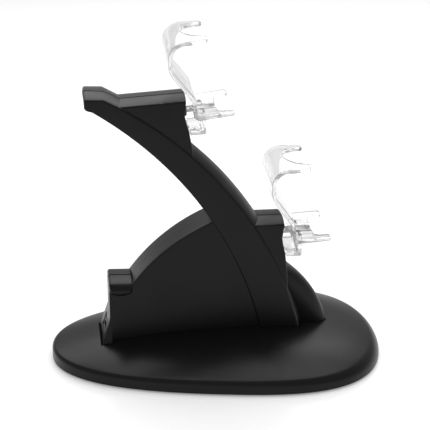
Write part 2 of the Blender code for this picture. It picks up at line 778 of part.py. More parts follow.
def half_space(name, side):
    """Everything on the other side of the seam, to be cut away. side is 1 or -1."""
    reach = 200 * MM
    low, high = sorted((side * SEAM / 2, -side * reach))
    return block(name, (-reach, low, -reach), (reach, high, reach + 60 * MM))


def make_shells(places, look):
    masses = stand_masses(places)
    hollows = stand_hollows(places)
    openings = head_openings(places) + inlet_openings(places)
    for name, side in (("stand_shell_left", 1), ("stand_shell_right", -1)):
        shell = slab(name, arm_outline(), ARM_HALF_WIDTH, ARM_EDGE_RADIUS, ARM_CROWN, hidden=False)
        inner = shell_bosses(name, side) + board_rails(name, side, places)
        holes = shell_boss_holes(name, side) + openings + [half_space(f"{name}_seam", side)]
        join(shell, *masses, solver=STAND_SOLVER)
        cut(shell, *hollows, solver=STAND_SOLVER)
        join(shell, *inner, solver=STAND_SOLVER)
        cut(shell, *holes, solver=STAND_SOLVER)
        finish_piece(shell, look)


def shell_bosses(name, side):
    """Screw bosses, each held to the side wall by a rib."""
    bosses = []
    top = PLINTH_BOTTOM + STAND_BOSS_HEIGHT
    ends = (("rear", REAR_STAND_SCREW_X, FAIRING_HALF_WIDTH), ("front", FRONT_STAND_SCREW_X, ARM_HALF_WIDTH))
    for end, x, half_width in ends:
        bottom = PLINTH_BOTTOM + GAP
        bosses.append(post(f"{name}_boss_{end}", (x, side * STAND_SCREW_Y), BOSS_RADIUS, bottom, top))
        low, high = sorted((side * (STAND_SCREW_Y + BOSS_RADIUS / 2), side * (half_width - STAND_WALL / 2)))
        rib = block(f"{name}_rib_{end}", (x - STAND_WALL / 2, low, bottom + GAP),
                    (x + STAND_WALL / 2, high, top - GAP))
        bosses.append(rib)
    return bosses


def shell_boss_holes(name, side):
    holes = []
    for end, x in (("rear", REAR_STAND_SCREW_X), ("front", FRONT_STAND_SCREW_X)):
        at = (x, side * STAND_SCREW_Y)
        radius = SCREW_SHANK_RADIUS + GAP
        holes.append(post(f"{name}_boss_hole_{end}", at, radius, 0, screw_hole_top(), 10))
    return holes


def board_rails(name, side, places):
    """Rails on the side walls that the boards lie on."""
    rails = []
    top = charge_board_top() - BOARD_THICKNESS - GAP
    rear = CHARGE_BOARD_FRONT - CHARGE_BOARD_LENGTH
    for place in ("upper", "lower"):
        low, high = rail_sides(side, HEAD_HALF_WIDTH)
        rail = block(f"{name}_{place}_rail", (rear, low, top - 1.5 * MM), (CHARGE_BOARD_FRONT - 3 * MM, high, top))
        rail.parent = places[place]
        rails.append(rail)
    low, high = rail_sides(side, FAIRING_HALF_WIDTH)
    top = inlet_board_top() - BOARD_THICKNESS - GAP
    start = inlet_board_start()
    rail = block(f"{name}_inlet_rail", (start, low, top - 1.5 * MM), (start + INLET_BOARD_LENGTH, high, top))
    rail.parent = places["inlet"]
    rails.append(rail)
    return rails


def rail_sides(side, half_width):
    return sorted((side * (BOARD_HALF_WIDTH - 1.6 * MM), side * (half_width - STAND_WALL / 2)))


def head_openings(places):
    """Windows in the front wall of each head, for the plug and for the bracket's tongue."""
    openings = []
    half_width = PLUG_BODY_WIDTH / 2 + GAP
    half_height = PLUG_BODY_HEIGHT / 2 + GAP
    for name in ("upper", "lower"):
        window = block(f"{name}_plug_window", (-6 * MM, -half_width, PLUG_HEIGHT - half_height),
                       (6 * MM, half_width, PLUG_HEIGHT + half_height))
        slot = block(f"{name}_tongue_slot", (-6 * MM, -TONGUE_HALF_WIDTH - GAP, TAIL_BOTTOM - GAP),
                     (6 * MM, TONGUE_HALF_WIDTH + GAP, TAIL_BOTTOM + BRACKET_THICKNESS + GAP))
        for opening in (window, slot):
            opening.parent = places[name]
            openings.append(opening)
    return openings


def inlet_openings(places):
    """The recess in the flared foot, and the slot in its floor for the socket."""
    outer = -10 * MM
    recess = block("inlet_recess", (outer, -INLET_RECESS_HALF_WIDTH, -INLET_RECESS_HALF_HEIGHT),
                   (INLET_RECESS_DEPTH, INLET_RECESS_HALF_WIDTH, INLET_RECESS_HALF_HEIGHT))
    half_width = INLET_WIDTH / 2 + GAP
    half_height = INLET_HEIGHT / 2 + GAP
    slot = block("inlet_slot", (outer, -half_width, -half_height), (16 * MM, half_width, half_height))
    for opening in (recess, slot):
        opening.parent = places["inlet"]
    return [recess, slot]


# Brackets

def bracket_profile():
    """Side view of the bracket's strip, from the fork tips down to the prong tips."""
    return rounded_path([(FORK_REACH, FORK_HEIGHT, 0), (BRACKET_BACK, FORK_HEIGHT, 9.4 * MM),
                         (BRACKET_BACK, BRACKET_WAIST, 8.0 * MM), (4.0 * MM, 2.6 * MM, 5.0 * MM),
                         (4.2 * MM, PRONG_HEIGHT, 3.3 * MM), (PRONG_REACH, PRONG_HEIGHT, 0)],
                        math.radians(22))


def thickened(path, thickness):
    """The closed outline of a strip of one thickness along an open path."""
    sides = []
    for i, here in enumerate(path):
        after = Vector(path[min(i + 1, len(path) - 1)]) - Vector(here)
        before = Vector(here) - Vector(path[max(i - 1, 0)])
        n1 = Vector((before.y, -before.x)).normalized() if i else Vector((after.y, -after.x)).normalized()
        n2 = Vector((after.y, -after.x)).normalized() if after.length > 0 else n1
        out = (n1 + n2) / (1 + n1.dot(n2)) * thickness / 2
        sides.append((Vector(here) + out, Vector(here) - out))
    return [tuple(a) for a, b in sides] + [tuple(b) for a, b in reversed(sides)]


def bracket_strip(name):
    """The bent strip. The sides of its fork droop and the sides of its prongs rise."""
    outline = thickened(bracket_profile(), BRACKET_THICKNESS)
    rings = []
    for share in (-1.0, -0.8, -0.5, 0.5, 0.8, 1.0):
        ring = []
        for x, z in outline:
            above = max(0.0, min(1.0, (z - BRACKET_WAIST) / (FORK_HEIGHT - BRACKET_WAIST)))
            below = max(0.0, min(1.0, (x - 4 * MM) / (12 * MM))) if z < 0 else 0.0
            lift = (PRONG_RISE * below - FORK_DROOP * above) * share * share
            ring.append((x, BRACKET_HALF_WIDTH * share, z + lift))
        rings.append(ring)
    return loft(name, rings)


def fork_notch(name):
    """The rounded bite between the fork's tips."""
    outline = []
    for i in range(15):
        a = math.pi / 2 + math.pi * i / 14
        outline.append((FORK_REACH + 0.4 * MM + FORK_NOTCH_DEPTH * math.cos(a),
                        FORK_NOTCH_HALF_WIDTH * math.sin(a)))
    far = FORK_REACH + 10 * MM
    outline += [(far, -FORK_NOTCH_HALF_WIDTH), (far, FORK_NOTCH_HALF_WIDTH)]
    return prism(name, outline, FORK_HEIGHT - 8 * MM, FORK_HEIGHT + 8 * MM)


def prong_gap(name):
    """The gap between the prongs, with rounded inner corners."""
    far = PRONG_REACH + 10 * MM
    inner = rounded_path([(far, -PRONG_GAP_HALF_WIDTH, 0), (PRONG_ROOT, -PRONG_GAP_HALF_WIDTH, 2.5 * MM),
                          (PRONG_ROOT, PRONG_GAP_HALF_WIDTH, 2.5 * MM), (far, PRONG_GAP_HALF_WIDTH, 0)],
                         math.radians(30))
    return prism(name, inner, PRONG_HEIGHT - 6 * MM, PRONG_HEIGHT + 6 * MM)


def corner_trim(name, x, y_side, radius, low, high):
    """What is cut from one outer corner of the strip to round it in plan.

    Its arc crosses both sides at a small angle, so that no sliver is left along them.
    """
    lead_in = math.radians(10)
    reach = 5 * MM
    y = BRACKET_HALF_WIDTH
    centre = (x - radius * math.cos(lead_in), y - radius * math.cos(lead_in))
    round_in = arc(centre, radius, lead_in, math.pi / 2 - lead_in, 4)
    first = (x + reach * math.sin(lead_in), round_in[0][1] - reach * math.cos(lead_in))
    last = (round_in[-1][0] - reach * math.cos(lead_in), y + reach * math.sin(lead_in))
    outline = [first] + round_in + [last, (last[0], y + reach), (x + reach, y + reach), (x + reach, first[1])]
    return prism(name, [(px, y_side * py) for px, py in outline], low, high)


def make_bracket(name, place, look):
    bracket = bracket_strip(name)
    tail = plate(f"{name}_tail", tail_outline(), TAIL_HALF_WIDTH)
    tongue = plate(f"{name}_tongue", tongue_outline(), TONGUE_HALF_WIDTH)
    half_width = PLUG_BODY_WIDTH / 2 + GAP
    half_height = PLUG_BODY_HEIGHT / 2 + GAP
    window = block(f"{name}_window", (0, -half_width, PLUG_HEIGHT - half_height),
                   (PRONG_ROOT + 2 * MM, half_width, PLUG_HEIGHT + half_height))
    trims = []
    for side in (-1, 1):
        trims.append(corner_trim(f"{name}_fork_trim_{side}", FORK_REACH, side, FORK_CORNER_RADIUS,
                                 FORK_HEIGHT - 8 * MM, FORK_HEIGHT + 8 * MM))
        trims.append(corner_trim(f"{name}_prong_trim_{side}", PRONG_REACH, side, 2.6 * MM,
                                 PRONG_HEIGHT - 6 * MM, PRONG_HEIGHT + 6 * MM))
    cutters = [fork_notch(f"{name}_notch"), prong_gap(f"{name}_gap"), window] + trims
    join(bracket, tail, tongue)
    cut(bracket, *cutters)
    for helper in [tail, tongue] + cutters:
        helper.parent = place
    return finish_piece(bracket, look, place)


def tail_outline():
    """Side view of the wall and shelf under the prongs, which carry the plug's front."""
    low = TAIL_BOTTOM
    inner = TAIL_FRONT - BRACKET_THICKNESS
    rear = 1.2 * MM
    points = [(rear, low), (TAIL_FRONT, low), (TAIL_FRONT, PRONG_HEIGHT + 0.2 * MM),
              (inner, PRONG_HEIGHT + 0.2 * MM), (inner, low + BRACKET_THICKNESS),
              (rear, low + BRACKET_THICKNESS)]
    return points


def tongue_outline():
    """Side view of the tongue that hooks behind the head's front wall."""
    low = TAIL_BOTTOM + 0.05 * MM
    top = low + BRACKET_THICKNESS - 0.1 * MM
    rear = -TONGUE_REACH
    points = [(rear, low), (4 * MM, low), (4 * MM, top), (rear + BRACKET_THICKNESS, top),
              (rear + BRACKET_THICKNESS, low + HOOK_HEIGHT), (rear, low + HOOK_HEIGHT)]
    return points


# Plugs, boards and lamps

def make_plug_shell(name, place, look):
    """A flat metal plug, wider at its top than at its bottom, with an open mouth."""
    def section(inset):
        half = PLUG_WIDTH / 2 - inset
        rise = PLUG_THICKNESS / 2 - inset
        foot = half - 0.7 * MM
        return [(-half, rise), (-half, -0.1 * MM), (-foot, -rise), (foot, -rise), (half, -0.1 * MM), (half, rise)]

    def body(label, inset, start, end, hidden):
        rings = [[(x, y, PLUG_HEIGHT + z) for y, z in section(inset)] for x in (start, end)]
        return loft(label, rings, hidden)

    shell = body(name, 0, PLUG_ROOT, PLUG_TIP, False)
    mouth = body(f"{name}_mouth", PLUG_WALL, PLUG_TIP - PLUG_MOUTH_DEPTH, PLUG_TIP + 1 * MM, True)
    mouth.parent = place
    cut(shell, mouth)
    return finish_piece(shell, look, place)


def make_plug_body(name, place, look):
    half_width = PLUG_BODY_WIDTH / 2
    half_height = PLUG_BODY_HEIGHT / 2
    body = block(name, (PLUG_BODY_REAR, -half_width, PLUG_HEIGHT - half_height),
                 (PLUG_BODY_FRONT, half_width, PLUG_HEIGHT + half_height), hidden=False)
    soften(body, 1.0 * MM, 3)
    pocket_width = PLUG_WIDTH / 2 + GAP
    pocket_height = PLUG_THICKNESS / 2 + GAP
    pocket = block(f"{name}_pocket", (PLUG_ROOT - GAP, -pocket_width, PLUG_HEIGHT - pocket_height),
                   (PLUG_BODY_FRONT + 2 * MM, pocket_width, PLUG_HEIGHT + pocket_height))
    pocket.parent = place
    cut(body, pocket)
    return finish_piece(body, look, place)


def charge_board_top():
    return PLUG_HEIGHT - PLUG_BODY_HEIGHT / 2 - GAP


def make_charge_board(name, place, look):
    top = charge_board_top()
    board = block(name, (CHARGE_BOARD_FRONT - CHARGE_BOARD_LENGTH, -BOARD_HALF_WIDTH, top - BOARD_THICKNESS),
                  (CHARGE_BOARD_FRONT, BOARD_HALF_WIDTH, top), hidden=False)
    return finish_piece(board, look, place)


def make_lamp(name, place, look):
    """The lamp under the charge board, which shines into the bracket's hook."""
    top = charge_board_top() - BOARD_THICKNESS - GAP
    rear = -TONGUE_REACH
    lamp = block(name, (rear, -LAMP_WIDTH / 2, top - LAMP_HEIGHT), (rear + LAMP_LENGTH, LAMP_WIDTH / 2, top),
                 hidden=False)
    soften(lamp, 0.25 * MM, 1)
    return finish_piece(lamp, look, place)


def inlet_board_top():
    return -INLET_HEIGHT / 2 - GAP


def inlet_lean():
    """Angle of the flared foot's rear face from upright, in radians."""
    return math.atan2(FLARE_REACH, FLARE_TOP - FLARE_BOTTOM)


def inlet_board_start():
    """Where the board begins, so that its lower edge clears the wall behind the inlet."""
    lean = inlet_lean()
    depth = inlet_wall_front() + GAP - (POST_REAR - FLARE_REACH / 2)
    low = inlet_board_top() - BOARD_THICKNESS
    return (depth - low * math.sin(lean)) / math.cos(lean)


def make_inlet(place, metal, board_look):
    """The power socket in the rear of the stand, on its own board."""
    start = INLET_RECESS_DEPTH - INLET_STAND_PROUD
    end = start + INLET_LENGTH

    def body(label, inset, low, high, hidden):
        half = INLET_WIDTH / 2 - inset
        rise = INLET_HEIGHT / 2 - inset
        foot = half - 0.9 * MM
        section = [(-half, rise), (-half, -0.3 * MM), (-foot, -rise), (foot, -rise), (half, -0.3 * MM), (half, rise)]
        return loft(label, [[(x, y, z) for y, z in section] for x in (low, high)], hidden)

    socket = body("inlet_socket", 0, start, end, False)
    mouth = body("inlet_socket_mouth", INLET_WALL, start - 2 * MM, end - 1.5 * MM, True)
    mouth.parent = place
    cut(socket, mouth)
    finish_piece(socket, metal, place)
    top = inlet_board_top()
    low = inlet_board_start()
    board = block("inlet_board", (low, -BOARD_HALF_WIDTH, top - BOARD_THICKNESS),
                  (low + INLET_BOARD_LENGTH, BOARD_HALF_WIDTH, top), hidden=False)
    finish_piece(board, board_look, place)


# Leads

def world_point(place, x, z):
    """A point of a placed frame, as (x, z) in the stand's frame."""
    at = place.matrix_world @ Vector((x, 0, z))
    return at.x, at.z


def smooth_route(points, spacing):
    """Points at even spacing on a smooth curve through the route's own points."""
    ends = [points[0] * 2 - points[1]] + points + [points[-1] * 2 - points[-2]]
    route = []
    for a, b, c, d in zip(ends, ends[1:], ends[2:], ends[3:]):
        count = max(2, round((c - b).length / spacing))
        for i in range(count):
            t = i / count
            route.append(0.5 * (2 * b + (c - a) * t + (2 * a - 5 * b + 4 * c - d) * t * t
                                + (3 * b - a - 3 * c + d) * t ** 3))
    return route + [points[-1]]


def make_lead(name, route, look):
    curve = bpy.data.curves.new(name, "CURVE")
    curve.dimensions = "3D"
    curve.bevel_depth = LEAD_RADIUS
    curve.bevel_resolution = 2
    curve.use_fill_caps = True
    points = smooth_route([Vector(point) for point in route], 11 * MM)
    spline = curve.splines.new("POLY")
    spline.points.add(len(points) - 1)
    for slot, point in zip(spline.points, points):
        slot.co = (*point, 1.0)
    lead = bpy.data.objects.new(name, curve)
    collection(STAND_COLLECTION).objects.link(lead)
    curve.materials.append(look)
    return lead


def arm_middle(x):
    """Height of the middle of the arm over x."""
    front = circle_height(ARM_FRONT_CENTRE, ARM_FRONT_RADIUS, x)
    return (front + circle_height(ARM_REAR_CENTRE, ARM_REAR_RADIUS, x)) / 2


def make_leads(places, look):
    inlet_rear = inlet_board_start() + INLET_BOARD_LENGTH + GAP
    start_x, start_z = world_point(places["inlet"], inlet_rear, inlet_board_top() - BOARD_THICKNESS / 2)
    board_rear = CHARGE_BOARD_FRONT - CHARGE_BOARD_LENGTH - GAP
    board_middle = charge_board_top() - BOARD_THICKNESS / 2
    low_x, low_z = world_point(places["lower"], board_rear, board_middle)
    high_x, high_z = world_point(places["upper"], board_rear, board_middle)
    y = LEAD_OFFSET
    near_x, near_z = start_x + LEAD_RUN, start_z + LEAD_RUN / 12
    bend = LEAD_BEND
    lower = [(start_x, y, start_z), (near_x, y, near_z), (LOWER_LEAD_AT[0], y, LOWER_LEAD_AT[1]),
             (low_x - 3.2 * bend, y, low_z - 2.8 * bend), (low_x - bend, y, low_z - 0.4 * bend),
             (low_x, y, low_z)]
    make_lead("lead_lower", lower, look)
    upper = [(start_x, -y, start_z), (near_x, -y, near_z), (UPPER_LEAD_AT[0], -y, UPPER_LEAD_AT[1])]
    upper += [(x, -y, arm_middle(x)) for x in UPPER_LEAD_STATIONS]
    upper += [(high_x - bend, -y, high_z - 0.8 * bend), (high_x, -y, high_z)]
    make_lead("lead_upper", upper, look)


# Assembly

def smooth_round_pieces():
    for item in collection(STAND_COLLECTION).objects:
        if item.type == "MESH":
            item.data.shade_smooth()
            item.data.set_sharp_from_angle(angle=math.radians(30))


def main():
    clear_scene()
    black = material("black_plastic", BLACK, 0.32)
    tray_black = material("tray_plastic", BLACK, 0.5)
    rubber = material("foot_rubber", DARK_RUBBER, 0.8)
    clear = material("clear_plastic", CLEAR, 0.05, transmission=1.0)
    steel = material("screw_steel", STEEL, 0.35, metallic=1.0)
    plug_metal = material("plug_metal", STEEL, 0.25, metallic=1.0)
    plug_black = material("plug_moulding", BLACK, 0.5)
    board_green = material("board_green", BOARD_GREEN, 0.4)
    lamp = material("lamp", LAMP_WHITE, 0.2)
    lead_black = material("lead_sheath", BLACK, 0.55)

    inlet_tilt = -math.degrees(inlet_lean())
    inlet_at = (POST_REAR - FLARE_REACH / 2, (FLARE_TOP + FLARE_BOTTOM) / 2)
    places = {
        "upper": place_for("upper_head_place", UPPER_HEAD_AT, UPPER_HEAD_TILT),
        "lower": place_for("lower_head_place", LOWER_HEAD_AT, LOWER_HEAD_TILT),
        "inlet": place_for("inlet_place", inlet_at, inlet_tilt),
    }
    bpy.context.view_layer.update()

    make_base_cover(black)
    make_base_tray(tray_black)
    make_feet(rubber)
    make_screws(steel)
    make_shells(places, black)
    for name in ("upper", "lower"):
        make_bracket(f"bracket_{name}", places[name], clear)
        make_plug_shell(f"plug_{name}_shell", places[name], plug_metal)
        make_plug_body(f"plug_{name}_body", places[name], plug_black)
        make_charge_board(f"charge_board_{name}", places[name], board_green)
        make_lamp(f"lamp_{name}", places[name], lamp)
    make_inlet(places["inlet"], plug_metal, board_green)
    make_leads(places, lead_black)
    smooth_round_pieces()


main()
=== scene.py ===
"""The looks of a charging station for two game controllers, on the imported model's own frame."""

import math

import bmesh
import bpy
from bpy.props import FloatProperty, FloatVectorProperty, IntProperty, PointerProperty
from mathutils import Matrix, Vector


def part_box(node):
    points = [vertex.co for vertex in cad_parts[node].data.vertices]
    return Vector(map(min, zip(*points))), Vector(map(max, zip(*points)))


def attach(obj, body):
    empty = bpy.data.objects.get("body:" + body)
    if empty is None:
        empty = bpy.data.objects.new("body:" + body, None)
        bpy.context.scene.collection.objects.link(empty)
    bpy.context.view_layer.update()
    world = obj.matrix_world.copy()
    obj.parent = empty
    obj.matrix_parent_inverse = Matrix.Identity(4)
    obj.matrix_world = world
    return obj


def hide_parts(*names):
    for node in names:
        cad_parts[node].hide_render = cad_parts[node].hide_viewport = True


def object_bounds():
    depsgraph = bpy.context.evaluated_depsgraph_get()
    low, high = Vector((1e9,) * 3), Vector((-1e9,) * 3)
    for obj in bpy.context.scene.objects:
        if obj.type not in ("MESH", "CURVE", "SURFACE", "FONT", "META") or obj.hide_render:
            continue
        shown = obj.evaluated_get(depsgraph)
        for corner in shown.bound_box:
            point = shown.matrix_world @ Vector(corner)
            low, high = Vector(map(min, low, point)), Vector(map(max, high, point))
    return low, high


bl_info = {
    "name": "Controller charging station",
    "version": (1, 0, 0),
    "blender": (4, 5, 0),
    "location": "3D View > Sidebar > Charging station",
    "description": "Builds the visible pieces of a charging station for two game controllers",
    "category": "Add Mesh",
}

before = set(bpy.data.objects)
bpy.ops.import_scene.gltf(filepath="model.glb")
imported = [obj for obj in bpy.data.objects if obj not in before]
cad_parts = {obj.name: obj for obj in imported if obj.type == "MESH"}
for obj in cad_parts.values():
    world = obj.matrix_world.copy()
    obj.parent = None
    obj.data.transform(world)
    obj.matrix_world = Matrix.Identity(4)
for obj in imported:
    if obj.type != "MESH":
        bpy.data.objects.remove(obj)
CAD_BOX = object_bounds()
MM = 0.001

# Camera, at the photograph's viewing angle
PICTURE_SIDE = 430
FOCAL_PIXELS = 1600.0
SENSOR_WIDTH = 36.0
CAMERA_DISTANCE = 0.930
CAMERA_RISE = math.radians(22.0)
CAMERA_TURN = math.radians(-6.3)
CAMERA_AIM = (-0.4 * MM, 0.0, 86.4 * MM)
CAMERA_CLIP = 0.05

# Studio
WHITE = (1.0, 1.0, 1.0, 1.0)
WORLD_LIGHT = 0.6
FLOOR_REACH = 6.0
FLOOR_LOOK = {"Base Color": (0.9, 0.9, 0.9, 1.0), "Roughness": 0.25, "Specular IOR Level": 0.3,
              "Emission Color": WHITE}
FLOOR_LIFT = 0.22
FLOOR_THROUGH_PLASTIC = 0.95
BACKDROP_FADE = {"From Min": -0.06, "From Max": 0.1, "To Min": 1.0, "To Max": 0.42}
LAMPS = {
    "overhead": {"at": (0.1, 0.25, 0.95), "aim": (0.0, 0.0, 0.05), "size": (0.9, 0.7), "power": 4.5},
    "behind": {"at": (0.0, 0.62, 0.58), "aim": (0.0, 0.0, 0.1), "size": (1.0, 0.36), "power": 2.2},
}

# Finishes
BLACK_GLOSS_BELOW = 0.015
BLACK_GLOSS_ABOVE = 0.045
BLACK_GRAIN_DEPTH = 0.003
BLACK_SPECULAR = 0.2
CLOUD_REACH = {"From Min": 0.2, "From Max": 0.8}
MOULDED_BUMP = 0.35
CLEAR_LOOK = {"Roughness": 0.03, "IOR": 1.49, "Transmission Weight": 1.0, "Alpha": 0.88}
FLOW_SCALE = 90.0
FLOW_BUMP = 0.2
FLOW_DEPTH = 0.15 * MM
STREAK_STRETCH = 0.08
STREAK_BUMP = 0.2
STREAK_DEPTH = 0.01 * MM
BOARD_ROUGHNESS = 0.32
TRACKS = {"Scale": 220.0, "Mortar Size": 0.05, "Color1": (0.01, 0.11, 0.04, 1.0),
          "Color2": (0.02, 0.16, 0.06, 1.0), "Mortar": (0.06, 0.24, 0.07, 1.0)}
TRACK_BUMP = 0.4
TRACK_DEPTH = 0.03 * MM

# Base
BASE_HALF_LENGTH = 97.5 * MM
BASE_HALF_WIDTH = 60.7 * MM
BASE_FRONT_FULLNESS = 15.6 * MM
BASE_END_FULLNESS = 10.8 * MM
BASE_PLAN_POWER = 2.2
BASE_PLAN_ROOT = 0.475
BASE_EDGE_HEIGHT = 7.9 * MM
BASE_DOME_RISE = 11.8 * MM
DOME_FULLNESS = 2.6
DOME_FRONT_FULLNESS = 0.5
DOME_RINGS = 15
BASE_EDGE_RADIUS = 2.1 * MM
BASE_FRONT_EDGE_RADIUS = 5.6 * MM
EDGE_RINGS = 8
BASE_SKIRT_BOTTOM = 1.0 * MM
BASE_WALL = 1.8 * MM
BASE_SMOOTH = 40.0

# Stand. A circle of its side view is (centre, radius), and a head is (place, tilt in degrees)
STAND_SMOOTH = 32.0
SEAM = 0.3 * MM
LIP_GAP = 0.04 * MM
LIP_DROP = 0.02 * MM
LIP_DEPTH = 1.5 * MM
GAP = 0.3 * MM
STAND_WALL = 2.2 * MM
SIDE_EDGE_TURNS = (90, 76, 62, 48, 34, 20, 0)
SIDE_SHARES = (0.8, 0.6, 0.4, 0.2)
SHARPEST_MITRE = 0.3
ARM_HALF_WIDTH = 13.6 * MM
ARM_EDGE_RADIUS = 0.9 * MM
ARM_CROWN = 3.8 * MM
ARM_CROWN_START = 0.45
ARM_CROWN_GROWTH = 1.3
ARM_FRONT = ((-166.4 * MM, -32.0 * MM), 220.0 * MM)
ARM_REAR = ((-189.6 * MM, -28.7 * MM), 219.6 * MM)
ARM_FOOT_TOP = 16.6 * MM
ARM_FOOT_PROUD = 0.4 * MM
NOSE_REAR = -74.7 * MM
NOSE_TOP = 163.1 * MM
NOSE_FLAT = 10.4 * MM
NOSE_HEIGHT = 6.1 * MM
NOSE_RADIUS = 1.5 * MM
NOSE_HEEL_RADIUS = 2.6 * MM
NOSE_HEEL = 4.5 * MM
NOSE_SLOPE_START = NOSE_REAR + NOSE_FLAT + 1.6 * MM
NOSE_SLOPE_LENGTH = 5.5 * MM
NOSE_FLAT_END = (NOSE_SLOPE_START - 1 * MM, NOSE_TOP - 0.4 * MM)
NOSE_CROWN_SHARE = 0.4
HEAD_HALF_WIDTH = 12.6 * MM
HEAD_EDGE_RADIUS = 0.8 * MM
HEAD_CROWN = 1.4 * MM
HEAD_DEPTH = 50.0 * MM
HEAD_ROOT = -HEAD_DEPTH - 2 * MM
HEAD_FACE = ((3.2 * MM, -0.95 * HEAD_DEPTH), (1.5 * MM, -26 * MM), (0.6 * MM, -18 * MM),
             (-0.6 * MM, -13 * MM), (-1.3 * MM, -8 * MM))
HEAD_PAST_SHELF = 3.8 * MM
HEAD_REAR_DROP = -6 * MM
LIP_RADIUS = 1.0 * MM
LIP_STEPS = 6
HEADS = {"upper": ((-17.9 * MM, 160.1 * MM), 3.4), "lower": ((38.8 * MM, 83.8 * MM), 0.0)}
SHELVES = {"upper": 36.4 * MM, "lower": 15.6 * MM}
FAIRING_HALF_WIDTH = 12.8 * MM
FAIRING_EDGE_RADIUS = 0.7 * MM
FAIRING_CENTRE = (41.0 * MM, -16.3 * MM)
FAIRING_RADIUS = 112.6 * MM
FAIRING_JOIN = 10 * MM
FAIRING_FRONT = 30 * MM
FAIRING_FRONT_TOP = 40 * MM
POST_REAR = -63.5 * MM
POST_FRONT = -50.4 * MM
POST_TOP = 49.6 * MM
LEDGE_HALF_WIDTH = 13.8 * MM
LEDGE_DEPTH = 7.8 * MM
LEDGE_END_RADIUS = 3.6 * MM
LEDGE_BELLY = 2.4 * MM
LEDGE_BELLY_RADIUS = 6.0 * MM
LEDGE_LOW_RADIUS = 2.0 * MM
LEDGE_FRONT_RADIUS = 0.7 * MM
LEDGE_REAR_RADIUS = 1.6 * MM
LEDGE_RISE = 0.4 * MM
LEDGE_REAR = POST_REAR
LEDGE_FRONT = POST_FRONT + 0.6 * MM
FLARE_TOP = 28.4 * MM
FLARE_BOTTOM = 13.4 * MM
FLARE_REACH = 4.8 * MM
FLARE_HALF_WIDTH = 15.0 * MM
FLARE_FRONT = POST_REAR + STAND_WALL / 2
TOE = ((5.9 * MM, 4.3 * MM), 61.6 * MM)
TOE_RISE = 0.856
TOE_HALF_WIDTH = 6.6 * MM
TOE_BLUNTNESS = 0.8
TOE_WIDENING = 0.5
TOE_LEAST = 0.5 * MM
TOE_ROOT = 8 * MM
TOE_RINGS = 28
PLINTH_TOP = 11.6 * MM
PLINTH_STEP = 0.1 * MM
PLINTH_BOTTOM = 3.5 * MM
BURIED = 2.0 * MM
BELOW_STAND = -10 * MM
OPENING_TOP = 60 * MM
CUT_REACH = 200 * MM
WINDOW_REACH = 6 * MM

# Clear brackets, in the head's own frame
BRACKET_HALF_WIDTH = 21.5 * MM
BRACKET_THICKNESS = 2.5 * MM
FORK_REACH = 13.6 * MM
FORK_HEIGHT = 36.7 * MM
FORK_DROOP = 1.3 * MM
FORK_NOTCH_HALF_WIDTH = 13.6 * MM
FORK_NOTCH_DEPTH = 13.2 * MM
NOTCH_LEAST = 3.0 * MM
NOTCH_STEPS = 40
FORK_CORNER_RADIUS = 4.0 * MM
FORK_BEND_RADIUS = 9.4 * MM
BRACKET_BACK = -7.8 * MM
FORK_OVER_WAIST = 17.2 * MM
BRACKET_WAIST = FORK_HEIGHT - FORK_OVER_WAIST
WAIST_BEND_RADIUS = 8.0 * MM
STRIP_FRONT = 4.2 * MM
STRIP_KNEE = (4.0 * MM, 2.6 * MM, 5.0 * MM)
PRONG_BEND_RADIUS = 3.3 * MM
PRONG_REACH = 26.0 * MM
PRONG_HEIGHT = -8.2 * MM
PRONG_RISE = 1.5 * MM
PRONG_RISE_FROM = 4 * MM
PRONG_RISE_OVER = 12 * MM
PRONG_GAP_HALF_WIDTH = 14.0 * MM
PRONG_ROOT = 17.4 * MM
PRONG_CORNER_RADIUS = 2.6 * MM
PLUG_SLOT_PAST_BEND = 1.5 * MM
BRACKET_SMOOTH = 40.0
SLICES_A_SIDE = 6
PLATE_EDGE = 0.4 * MM
TAIL_HALF_WIDTH = 12.3 * MM
TAIL_REAR = 1.2 * MM
TAIL_FRONT = 10.3 * MM
TAIL_BOTTOM = -20.4 * MM
TONGUE_HALF_WIDTH = 9.0 * MM
TONGUE_REACH = 5.4 * MM
TONGUE_ROOT = 4 * MM
TONGUE_PLAY = 0.05 * MM
HOOK_HEIGHT = 5.5 * MM
WELD = 0.01 * MM
SLICE_WELD = 0.02 * MM
FLAT_EDGE = 0.001 * MM

# Plugs and inlet
PLUG_HEIGHT = -8.4 * MM
PLUG_WIDTH = 6.85 * MM
PLUG_THICKNESS = 1.85 * MM
PLUG_FOOT = 0.7 * MM
PLUG_CORNER = 0.3 * MM
PLUG_TIP = 17.0 * MM
PLUG_WALL = 0.24 * MM
PLUG_MOUTH_DEPTH = 6.0 * MM
PLUG_BODY_WIDTH = 9.8 * MM
PLUG_BODY_HEIGHT = 5.6 * MM
PLUG_BODY_REAR = -10.0 * MM
SLEEVE_ROOT = -2.5 * MM
MOULDING_FRONT = 0.5 * MM
CONNECTOR_SHOULDER = 0.15
LATCH_PLACE = 2.0 * MM
LATCH_HALF_WIDTH = 0.45 * MM
LATCH_FROM_TIP = (3.4 * MM, 1.8 * MM)
PLUG_TONGUE_HALF_WIDTH = 2.4 * MM
INLET_RECESS_HALF_WIDTH = 7.0 * MM
INLET_RECESS_HALF_HEIGHT = 4.6 * MM
INLET_RECESS_DEPTH = 5.0 * MM
INLET_RECESS_SHOWN = 0.6 * MM
INLET_RECESS_CORNER = 0.8 * MM
INLET_SLOT_DEPTH = 16 * MM
INLET_RIM = 0.1 * MM
INLET_FLOOR = 3.0 * MM
INLET_WIDTH = 7.7 * MM
INLET_HEIGHT = 3.9 * MM
INLET_FOOT = 0.9 * MM
INLET_CORNER = 0.4 * MM
INLET_STAND_PROUD = 1.2 * MM
INLET_LENGTH = 10.0 * MM
INLET_WALL = 0.32 * MM
INLET_BACK_WALL = 1.5 * MM
INLET_TONGUE_HALF_WIDTH = 2.2 * MM

